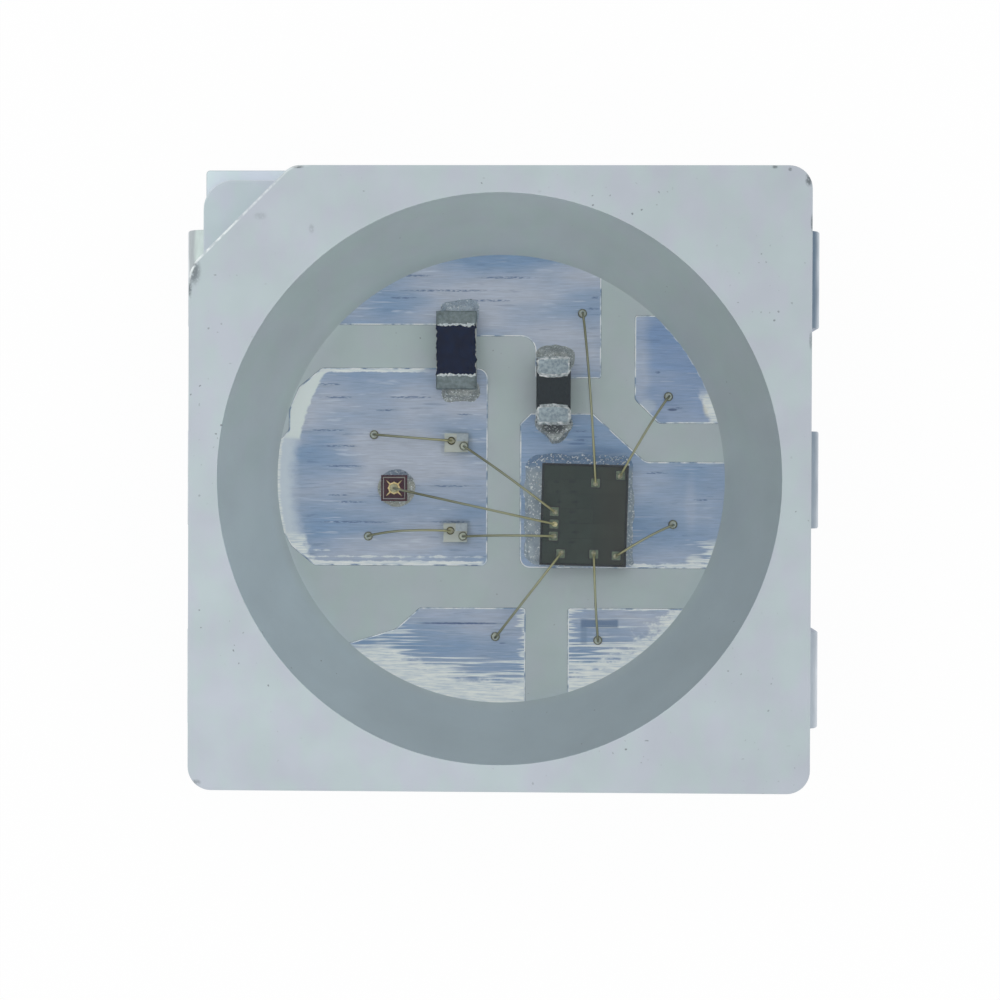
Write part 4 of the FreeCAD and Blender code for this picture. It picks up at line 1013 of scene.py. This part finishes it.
def make_capacitor(ceramic, end_materials):
    x, y, width, length, low, high = CAPACITOR
    bm = bmesh.new()
    block(bm, centred(width - 0.006, length - 0.030, x, y), low + 0.014, high - 0.012, 0.006)
    make_piece("capacitor_ceramic", bm, [ceramic], 30.0, "capacitor_ceramic", "capacitor_body")
    for name, side in ENDS:
        bm = bmesh.new()
        tip, back = y + side * length / 2, y + side * (length / 2 - 0.150)

        def hollow(p, depth, rest=0.0):
            return p + Vector((0, side * -depth * math.cos((p.x - x) / width * math.pi) + side * rest))

        def tear(outline):
            inner = [hollow(p, 0.016) if abs(p.y - back) < 0.030 else p for p in outline]
            return ragged(inner, 0.005, 0.028, 4.0 + side)

        levels = [(0.012, low), (0.0, low + 0.016), (0.0, high - 0.030)]
        for angle in map(math.radians, (30, 60, 85)):
            levels.append((0.026 * (1 - math.cos(angle)), high - 0.030 + 0.027 * math.sin(angle)))
        plan = dense(rounded(across(x, width / 2, tip, back), 0.034, 5), 0.009)
        # the rounded top edge takes the rim's painted highlight
        torn_stack(bm, plan, levels, tear, [0, 0, 1, 1, 1, 0])
        # a ragged strip in the rim's painted highlight along the inner edge
        strip = dense(across(x, width / 2 - 0.03, back + side * -0.012, back + side * 0.004), 0.006)
        rough = ragged([hollow(p, 0.014, 0.006) for p in strip], 0.006, 0.03, 9.0 + side)
        loft(bm, [(rough, high - 0.03), (rough, high - 0.001)], slots=[1, 1])
        make_piece(f"capacitor_end_{name}", bm, end_materials, 60.0, "tin_plating",
                   f"capacitor_terminal_{name}")


# Adhesive

# Part and end, share of flakes, how far the flank climbs in, steps of a rounding, and the plan as seen
# from the middle of that end of the part, with its radii
JOINTS = (
    ("resistor", "upper", 450, 0.06, 6,
     ((-0.145, -0.12), (0.185, -0.12), (0.185, 0.105), (-0.145, 0.105)), 0.085),
    ("resistor", "lower", 1000, 0.06, 6,
     ((-0.135, -0.105), (0.185, -0.105), (0.185, 0.10), (-0.135, 0.10)), 0.080),
    ("capacitor", "upper", 160, 0.06, 6,
     ((-0.135, -0.10), (0.170, -0.10), (0.170, 0.100), (-0.135, 0.100)), 0.085),
    ("capacitor", "lower", 750, 0.024, 5,
     ((-0.165, 0.08), (-0.150, -0.02), (-0.010, -0.150), (0.040, -0.150), (0.165, -0.02), (0.165, 0.08)),
     (0.06, 0.07, 0.03, 0.03, 0.07, 0.06)),
)


def mound(bm, outline, top, seed, climb, amount=0.006, levels=6, tear=0.0):
    """Squeezed-out adhesive: rises from its outline in a hollow curve, with an uneven skin.

    tear is how far its rim wanders; the wander fades out towards the top.
    """
    stack = [(ragged(ragged(outline, tear, 0.11, seed), amount * 1.6, 0.06, seed), FLOOR - 0.003)]
    for i in range(1, levels + 1):
        share = i / levels
        level = ragged(shrink(outline, climb * share), tear * (1 - share), 0.11, seed)
        stack.append((ragged(level, amount, 0.05, seed + i), FLOOR + (top - FLOOR) * share ** 1.6 + 0.003))
    for level in loft(bm, stack)[1:]:
        for vert in level:
            vert.co.z += noise.noise(vert.co / 0.022 + Vector((seed, 0, 0))) * amount * 0.9
            vert.co.z = max(vert.co.z, FLOOR + 0.0008)


def flake_tree(material):
    """Scatters small flat flakes over a surface, as silver filler lies in cured adhesive."""
    tree, given = new_tree("silver_flakes", (("Density", "Float"), ("Flake Size", "Float"), ("Seed", "Int")))
    seed = given["Seed"]
    spread = {"Mesh": given["Geometry"], "Density": given["Density"], "Seed": seed}
    points = add(tree, "GeometryNodeDistributePointsOnFaces", spread, out="Points")
    flake = {"Vertices": 5, "Radius": given["Flake Size"]}
    flake = add(tree, "GeometryNodeMeshCircle", flake, fill_type="NGON")
    flake = add(tree, "GeometryNodeExtrudeMesh", {"Mesh": flake, "Offset Scale": 0.001 * MM}, out="Mesh")
    turns = {"Min": (-0.75, -0.75, 0.0), "Max": (0.75, 0.75, 6.28), "Seed": seed}
    tilt = add(tree, "FunctionNodeRandomValue", turns, data_type="FLOAT_VECTOR")
    size = add(tree, "FunctionNodeRandomValue", {2: 0.45, 3: 1.25, "Seed": seed}, out=1, data_type="FLOAT")
    placed = {"Points": points, "Instance": flake, "Rotation": tilt, "Scale": size}
    placed = add(tree, "GeometryNodeInstanceOnPoints", placed)
    real = add(tree, "GeometryNodeRealizeInstances", {"Geometry": placed})
    lifted = add(tree, "GeometryNodeSetPosition", {"Geometry": real, "Offset": (0, 0, 0.0012 * MM)})
    done = add(tree, "GeometryNodeSetMaterial", {"Geometry": lifted, "Material": material})
    add(tree, "NodeGroupOutput", {"Geometry": done})
    return tree


def scatter(name, source, tree, density, size, seed):
    """Flakes over a piece, as a piece of their own; density is their number on a square millimetre."""
    inputs = {"Density": density / MM ** 2, "Flake Size": size * MM, "Seed": seed}
    dress(apply_tree(link(name, source.data.copy()), tree, inputs), "silver_adhesive")


def make_adhesives(red_paste, bed_paste, joint_paste, clear, flakes):
    """Adhesive under every chip and at the ends of both chip parts."""
    bm = bmesh.new()
    mound(bm, circle(0.158, 56, (RED[0] + 0.016, RED[1])), FLOOR + 0.045, 1.0, 0.055)
    around = make_piece("red_chip_adhesive", bm, [red_paste], 70.0, "silver_adhesive", "red_die_attach")
    scatter("red_chip_flakes", around, flakes, 700, 0.0060, 1)
    for colour, place in (("green", GREEN), ("blue", BLUE)):
        bm = bmesh.new()
        plan = dense(rounded(centred(0.262, 0.222, *place), 0.05, 5), 0.015)
        mound(bm, plan, FLOOR + 0.030, 2.0, 0.03, 0.003)
        make_piece(f"{colour}_chip_adhesive", bm, [clear], 70.0, "clear_adhesive", f"{colour}_die_attach")
    bm = bmesh.new()
    x, y = DRIVER
    plan = rectangle(x - 0.3515 - 0.145, y - 0.414 - 0.004, x + 0.3515 + 0.050, y + 0.414 + 0.075)
    outline = dense(rounded(plan, [0.10, 0.05, 0.10, 0.12], 6), 0.016)
    mound(bm, outline, FLOOR + 0.030, 3.0, 0.045, tear=0.030)
    bed = make_piece("driver_adhesive", bm, [bed_paste], 70.0, "silver_adhesive", "driver_die_attach")
    scatter("driver_flakes", bed, flakes, 420, 0.0080, 3)
    for seed, (part, end, density, climb, steps, corners, radii) in enumerate(JOINTS, 6):
        x, y, _, length = (RESISTOR if part == "resistor" else CAPACITOR)[:4]
        y += dict(ENDS)[end] * length / 2
        bm = bmesh.new()
        plan = dense(rounded([(x + u, y + v) for u, v in corners], radii, steps), 0.012)
        mound(bm, plan, FLOOR + 0.10, float(seed), climb, 0.008, 7, 0.022)
        joint = make_piece(f"{part}_adhesive_{end}", bm, [joint_paste], 70.0, "silver_adhesive",
                           f"{part}_joint_{end}")
        scatter(f"{part}_flakes_{end}", joint, flakes, density, 0.0070, 20 + seed)


# Bond wires

# Start, end or the driver's pad, and how far the wire bows sideways
WIRES = {
    "green_die_to_plate": ((-1.038, 0.358, FLOOR), (-0.401, 0.309, CLEAR_TOP + FILM), 0.0),
    "green_die_to_driver": ((-0.299, 0.265, CLEAR_TOP + FILM), "green", 0.010),
    "blue_die_to_plate": ((-1.083, -0.473, FLOOR), (-0.407, -0.424, CLEAR_TOP + FILM), 0.030),
    "blue_die_to_driver": ((-0.305, -0.468, CLEAR_TOP + FILM), "blue", 0.008),
    "red_die_to_driver": ((*RED, RED_TOP + FILM), "red", 0.0),
    "supply_lead_to_driver": ((0.663, 1.353, FLOOR), "supply", 0.014),
    "output_lead_to_driver": ((1.367, 0.676, FLOOR), "output", -0.014),
    "ground_lead_to_driver": ((1.408, -0.367, FLOOR), "ground", -0.016),
    "backup_lead_to_driver": ((-0.039, -1.291, FLOOR), "backup", 0.0),
    "input_lead_to_driver": ((0.799, -1.317, FLOOR), "input", 0.006),
}


def wire_tree():
    """Round wire along a curve, thicker at both ends; it keeps the share of its length as an attribute."""
    inputs = (("Wire Radius", "Float"), ("Sides", "Int"), ("Material", "Material"))
    tree, given = new_tree("bond_wire", inputs)
    along = add(tree, "GeometryNodeSplineParameter", out="Factor")
    kept = {"Geometry": given["Geometry"], "Name": "along", "Value": along}
    kept = add(tree, "GeometryNodeStoreNamedAttribute", kept, data_type="FLOAT", domain="POINT")
    section = {"Resolution": given["Sides"], "Radius": given["Wire Radius"]}
    section = add(tree, "GeometryNodeCurvePrimitiveCircle", section)
    tube = add(tree, "GeometryNodeCurveToMesh", {"Curve": kept, "Profile Curve": section, "Fill Caps": True})
    real = add(tree, "GeometryNodeRealizeInstances", {"Geometry": tube})
    smooth = add(tree, "GeometryNodeSetShadeSmooth", {"Geometry": real, "Shade Smooth": True})
    done = add(tree, "GeometryNodeSetMaterial", {"Geometry": smooth, "Material": given["Material"]})
    add(tree, "NodeGroupOutput", {"Geometry": done})
    return tree


def make_wire(name, start, end, bow, tree, golds):
    """Ball, loop and stitch of one wire; golds are those of the wire, of the ball's flank and of its top."""
    a = Vector(start)
    b = Vector((*pad_place(end), DRIVER_TOP + FILM) if isinstance(end, str) else end)
    run = Vector((b.x - a.x, b.y - a.y, 0))
    side = Vector((-run.y, run.x, 0)).normalized()
    bm = bmesh.new()
    # squashed ball, with the cone that the tool leaves on it: radius and height
    profile = ((0.030, 0.0), (0.036, 0.004), (0.0375, 0.010), (0.035, 0.017), (0.027, 0.021), (0.022, 0.024),
               (0.017, 0.034), (0.013, 0.042))
    # the ball's flank and top take the painted reflections of the dark floor and the bright sky
    loft(bm, [(circle(r, 24, (a.x, a.y)), a.z + z - 0.001) for r, z in profile], [1, 1, 1, 1, 2, 2, 2])
    # flattened stitch
    stitch = []
    for i in range(20):
        angle = 2 * math.pi * i / 20
        point = b + run.normalized() * (0.026 * math.cos(angle) + 0.004) + side * 0.021 * math.sin(angle)
        stitch.append(point.to_2d())
    loft(bm, [(stitch, b.z - 0.001), (stitch, b.z + 0.006), (shrink(stitch, 0.006), b.z + 0.011)], [1, 1, 1])
    for vert in bm.verts:
        vert.co *= MM
    bmesh.ops.recalc_face_normals(bm, faces=bm.faces)
    for face in bm.faces:
        face.smooth = True
    ends = bpy.data.meshes.new(f"{name}_ends")
    bm.to_mesh(ends)
    bm.free()
    ends.set_sharp_from_angle(angle=math.radians(50))

    head = max(a.z + 0.020, b.z) + LOOP_RISE
    drop = head - b.z
    # share of the run, height, share of the bow and thickness
    shape = ((0.0, a.z + 0.030, 0.0, 1.5), (0.0, head - 0.055, 0.0, 1.45), (0.010, head - 0.012, 0.1, 1.35),
             (0.09, head, 0.5, 1.15), (0.35, head - 0.25 * drop, 1.0, 0.95),
             (0.70, b.z + 0.42 * drop, 0.7, 0.95), (0.93, b.z + 0.030, 0.15, 1.15),
             (0.985, b.z + 0.010, 0.0, 1.35), (1.0, b.z + 0.004, 0.0, 1.4))
    curve = bpy.data.curves.new(f"{name}_path", "CURVE")
    curve.dimensions = "3D"
    curve.resolution_u = 12
    spline = curve.splines.new("NURBS")
    spline.points.add(len(shape) - 1)
    for point, (share, z, swing, width) in zip(spline.points, shape):
        spot = a + run * share + side * bow * swing
        point.co = (spot.x * MM, spot.y * MM, z * MM, 1.0)
        point.radius = width
    spline.order_u = 3
    spline.use_endpoint_u = True
    inputs = {"Wire Radius": WIRE_RADIUS * MM, "Sides": 14, "Material": golds[0]}
    loop = apply_tree(link(f"bond_wire_{name}", curve), tree, inputs)
    for gold in golds[1:]:
        loop.data.materials.append(gold)
    both = bmesh.new()
    both.from_mesh(loop.data)
    both.from_mesh(ends)
    both.to_mesh(loop.data)
    both.free()
    dress(loop, "gold", f"wire_{name}")


# Scene

def make_world():
    """White studio all round, a little dimmer overhead where the camera looks in."""
    world = bpy.data.worlds.new("studio")
    bpy.context.scene.world = world
    tree = empty_tree(world)
    white, dim = (1.0, 1.0, 1.0, 1.0), (0.70, 0.72, 0.75, 1.0)
    height = add(tree, "SeparateXYZ", {0: add(tree, "TexCoord", out="Generated")}, out="Z")
    overhead = add(tree, "MapRange", {0: height, 1: 0.80, 2: 0.94}, interpolation_type="SMOOTHSTEP")
    light = add(tree, "Mix", {0: overhead, 6: white, 7: dim}, out=2, data_type="RGBA")
    seen = add(tree, "LightPath", out="Is Camera Ray")
    colour = add(tree, "Mix", {0: seen, 6: light, 7: white}, out=2, data_type="RGBA")
    add(tree, "OutputWorld", {"Surface": add(tree, "Background", {"Color": colour, "Strength": 1.0})})


def make_floor():
    """Plain pale table: nearly all white to the camera, with a trace of the part's shadow."""
    material = bpy.data.materials.new("pale_table")
    tree = empty_tree(material)
    matt = add(tree, "BsdfDiffuse", {"Color": linear("#F4F5F5")})
    white = add(tree, "Emission", {"Color": (1, 1, 1, 1), "Strength": 1.0})
    seen = add(tree, "LightPath", out="Is Camera Ray")
    for kind in ("Is Glossy Ray", "Is Transmission Ray"):
        seen = add(tree, "Math", {0: seen, 1: add(tree, "LightPath", out=kind)}, operation="MAXIMUM")
    share = add(tree, "Math", {0: seen, 1: 0.96}, operation="MULTIPLY")
    add(tree, "OutputMaterial", {"Surface": add(tree, "MixShader", {0: share, 1: matt, 2: white})})
    bm = bmesh.new()
    bm.faces.new(ring(bm, circle(150.0, 64), -0.001))
    to_object("table", bm, [material])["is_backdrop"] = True


def make_lights():
    for name, place, power in (("key_softbox", (-35, 30, 55), 0.003), ("fill_softbox", (45, -25, 50), 0.001)):
        data = bpy.data.lights.new(name, "AREA")
        data.shape = "SQUARE"
        data.size = 45 * MM
        data.energy = power
        lamp = link(name, data)
        lamp.location = Vector(place) * MM
        lamp.rotation_euler = (-Vector(place)).to_track_quat("-Z", "Y").to_euler()


def make_camera():
    """Straight down with a slight lean, as the photograph was taken."""
    data = bpy.data.cameras.new("camera")
    data.sensor_width = 36.0
    data.lens = 90.98
    data.clip_start = 0.001
    data.clip_end = 2.0
    camera = link("camera", data)
    camera.location = Vector((0.5562, 0.0449, 21.6)) * MM
    camera.rotation_euler = [math.radians(a) for a in (-0.598, 1.563, 0.214)]
    bpy.context.scene.camera = camera


def dress_leads():
    # painted highlight on the plates' rounded top edges
    stops = ((0.44, "#FAFDFD"), (0.64, "#8FA5C0"), (0.54, "#D5E0E8"))
    bright = stamped_edge("stamped_edge_painted_highlight", 2.0, stops)
    # painted shade in the gap round the plates
    stops = ((0.38, "#3F4D63"), (0.62, "#9AAABD"), (0.50, "#64758C"))
    dark = stamped_edge("stamped_edge_painted_shade", 5.0, stops)
    # the strips' tones from above are painted reflections
    strips = {-1: bent_strip("strip_left", "#9AA8B8", "#C9D6D3", "#B1B9BC", "#F2F6F9", 2.53, 0.0),
              1: bent_strip("strip_right", "#8E99AC", "#65788A", "#8A97A5", "#BCC6CE", 2.572, 0.45)}
    for name, (side, row, corners, radii) in PLATES.items():
        plate = rolled_silver(f"rolled_silver_{name}", PLATE_LOOKS[name])
        make_lead(name, side, row, corners, radii, [plate, bright, dark, strips[side]])


def dress_chips():
    # gold, deposited as a thin film: warm and bright, hardly grainy
    film_gold = mottled("gold_film", "#D2B87E", "#ECD7A4", 0.015, 0.35, metallic=1.0)
    # compound semiconductor, grown and polished: dark red, glossy
    epitaxy = mottled("red_chip_epitaxy", "#381224", "#4A1A2B", 0.03, 0.3, shine=0.3)
    # the same, etched aslant: a pale line all round
    mesa_edge = mottled("chip_mesa_edge", "#D8CCC4", None, 0.02, 0.3, metallic=1.0)
    make_red_chip([epitaxy, mesa_edge], film_gold)
    # gold contact, deposited on the clear chip: its top dull yellow, its edge painted dark as shade
    contact = mottled("contact_film", "#A9A683", "#C6C2A2", 0.015, 0.35, metallic=1.0)
    contact_edge = mottled("contact_flank", "#4E4A34", None, 0.015, 0.4, metallic=1.0)
    # clear oxide film, deposited: a pale grey square at one corner
    oxide = mottled("clear_oxide_film", "#AEB9C0", "#BFC9CF", 0.02, 0.3)
    # sapphire, polished: bends light only a little more than the resin round it
    glass = clear_body("polished_sapphire", "#FEFEFA", 1.04)
    films = [contact, contact_edge, oxide, sapphire_haze()]
    for colour, place in (("green", GREEN), ("blue", BLUE)):
        make_clear_chip(colour, place, glass, films)
    # silicon, cut with a saw: dark grey and dull
    sawn = mottled("sawn_silicon", "#23292E", "#2E353A", 0.02, 0.5)
    # aluminium, deposited: painted greenish grey as a reflection of the dark lens
    land = mottled("bond_land_aluminium", "#5E6A5C", "#778270", 0.02, 0.4, metallic=1.0)
    # glassy passivation, open over each land: a dark line round it
    land_frame = mottled("pad_frame", "#1D2226", "#262C30", 0.02, 0.4)
    make_driver_chip([driver_silicon(), sawn], [land, land_frame])


def dress_parts():
    # tin, plated and left matt: grey, softly mottled
    tin = mottled("plated_tin", "#768385", "#8D9A9D", 0.03, 0.5, 0.002, 0.6)
    # painted highlight: white grains along the ragged edge where the tin meets the coat
    tin_highlight = mottled("tin_painted_highlight", "#C6D0D4", "#F4F7F7", 0.012, 0.5, 0.004)
    # tin, melted and set again: brighter, with a rim painted white in patches as highlight
    bright_tin = mottled("reflowed_tin", "#85929A", "#AAB7BC", 0.022, 0.35, 0.002, 0.8)
    tin_rim = mottled("reflowed_tin_rim", "#8D9A9E", "#FFFFFF", 0.035, 0.3, 0.003)
    # alumina, fired: white and matt
    alumina = mottled("alumina_ceramic", "#B9BDBB", "#CDD0CD", 0.02, 0.6)
    # glass paste, printed and fired: nearly black blue, with no gleam under the resin
    coat = mottled("resistor_glass_coat", "#001536", "#031E42", 0.05, 0.5, shine=0.02)
    # barium titanate, pressed in layers and fired: dark grey, streaked along its length
    titanate = mottled("fired_titanate", "#212A2F", "#2D383E", 0.03, 0.5, shine=0.15, stretch=(0.3, 1, 1))
    make_resistor(alumina, coat, [tin, tin_highlight])
    make_capacitor(titanate, [bright_tin, tin_rim])


def dress_adhesives():
    # far paints shade past the upper edges of the red chip and of the driver chip
    red_paste = silver_paste("red_chip_epoxy", "#B5B6AA", "#CBCABF", far=(-0.03, "#97A4B8"))
    bed_paste = silver_paste("driver_epoxy", "#A2B0BE", "#BDC8CF", "#7F8E9E", 0.30, 0.58, 0.022,
                             far=(0.06, "#829DBF"))
    # shade paints the shadow under the capacitor's lower end
    joint_paste = silver_paste("part_epoxy", "#A4AAA8", "#C2C6C3", far=(1.20, "#BBC8D5"),
                               shade=((CAPACITOR[0], 0.420), (0.14, 0.075), "#50575A"))
    # unfilled epoxy, cured as it flowed: clear, all but unseen in the resin
    clear_glue = clear_body("clear_chip_glue", "#FEFEFB", 1.01)
    # silver, milled to flakes: bright sparks
    flake = mottled("silver_flake", "#F1F5F6", None, 0.01, 0.3, metallic=0.3)
    make_adhesives(red_paste, bed_paste, joint_paste, clear_glue, flake_tree(flake))


def dress_wires():
    # gold, melted to a ball and pressed down: its flank painted dark and its top painted pale, as reflections
    # of the dark floor and the bright sky
    wire = drawn_gold()
    golds = [wire, mottled("ball_flank_gold", "#86846E", "#B2AF96", 0.01, 0.35, metallic=1.0),
             mottled("ball_top_gold", "#E4E1C6", "#FFFFF0", 0.01, 0.3, metallic=0.7)]
    # the same painted reflections over the star electrode, whose gold it mirrors
    star_golds = [wire, mottled("star_ball_flank_gold", "#C4B786", "#F0E4B4", 0.012, 0.35, metallic=0.6),
                  mottled("star_ball_top_gold", "#F0E4B0", "#FFF8D8", 0.012, 0.3, metallic=0.6)]
    tree = wire_tree()
    for name, (start, end, bow) in WIRES.items():
        make_wire(name, start, end, bow, tree, star_golds if name.startswith("red") else golds)


def main():
    # torn edges come out the same in each run
    noise.seed_set(5)
    bpy.context.scene.view_settings.view_transform = "Standard"
    make_world()
    make_floor()
    make_lights()
    make_camera()

    # the plastic under the resin and the shoulder are lit copies of one plastic: painted light lifts them by
    # 1.32 and 1.16
    make_body([moulded_body("moulded_polyamide", 1.0), moulded_body("wetted_polyamide", 1.32, True),
               moulded_body("shoulder_polyamide", 1.16)])
    # silicone resin, cast: hardly seen but for the softened edges below it
    make_resin(clear_body("cast_silicone_resin", "#F7FAFA", 1.41))
    dress_leads()
    dress_chips()
    dress_parts()
    dress_adhesives()
    dress_wires()

    boxes = {"cad": cad_box, "visual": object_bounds()}
    {name: [list(corner) for corner in box] for name, box in boxes.items()}


main()
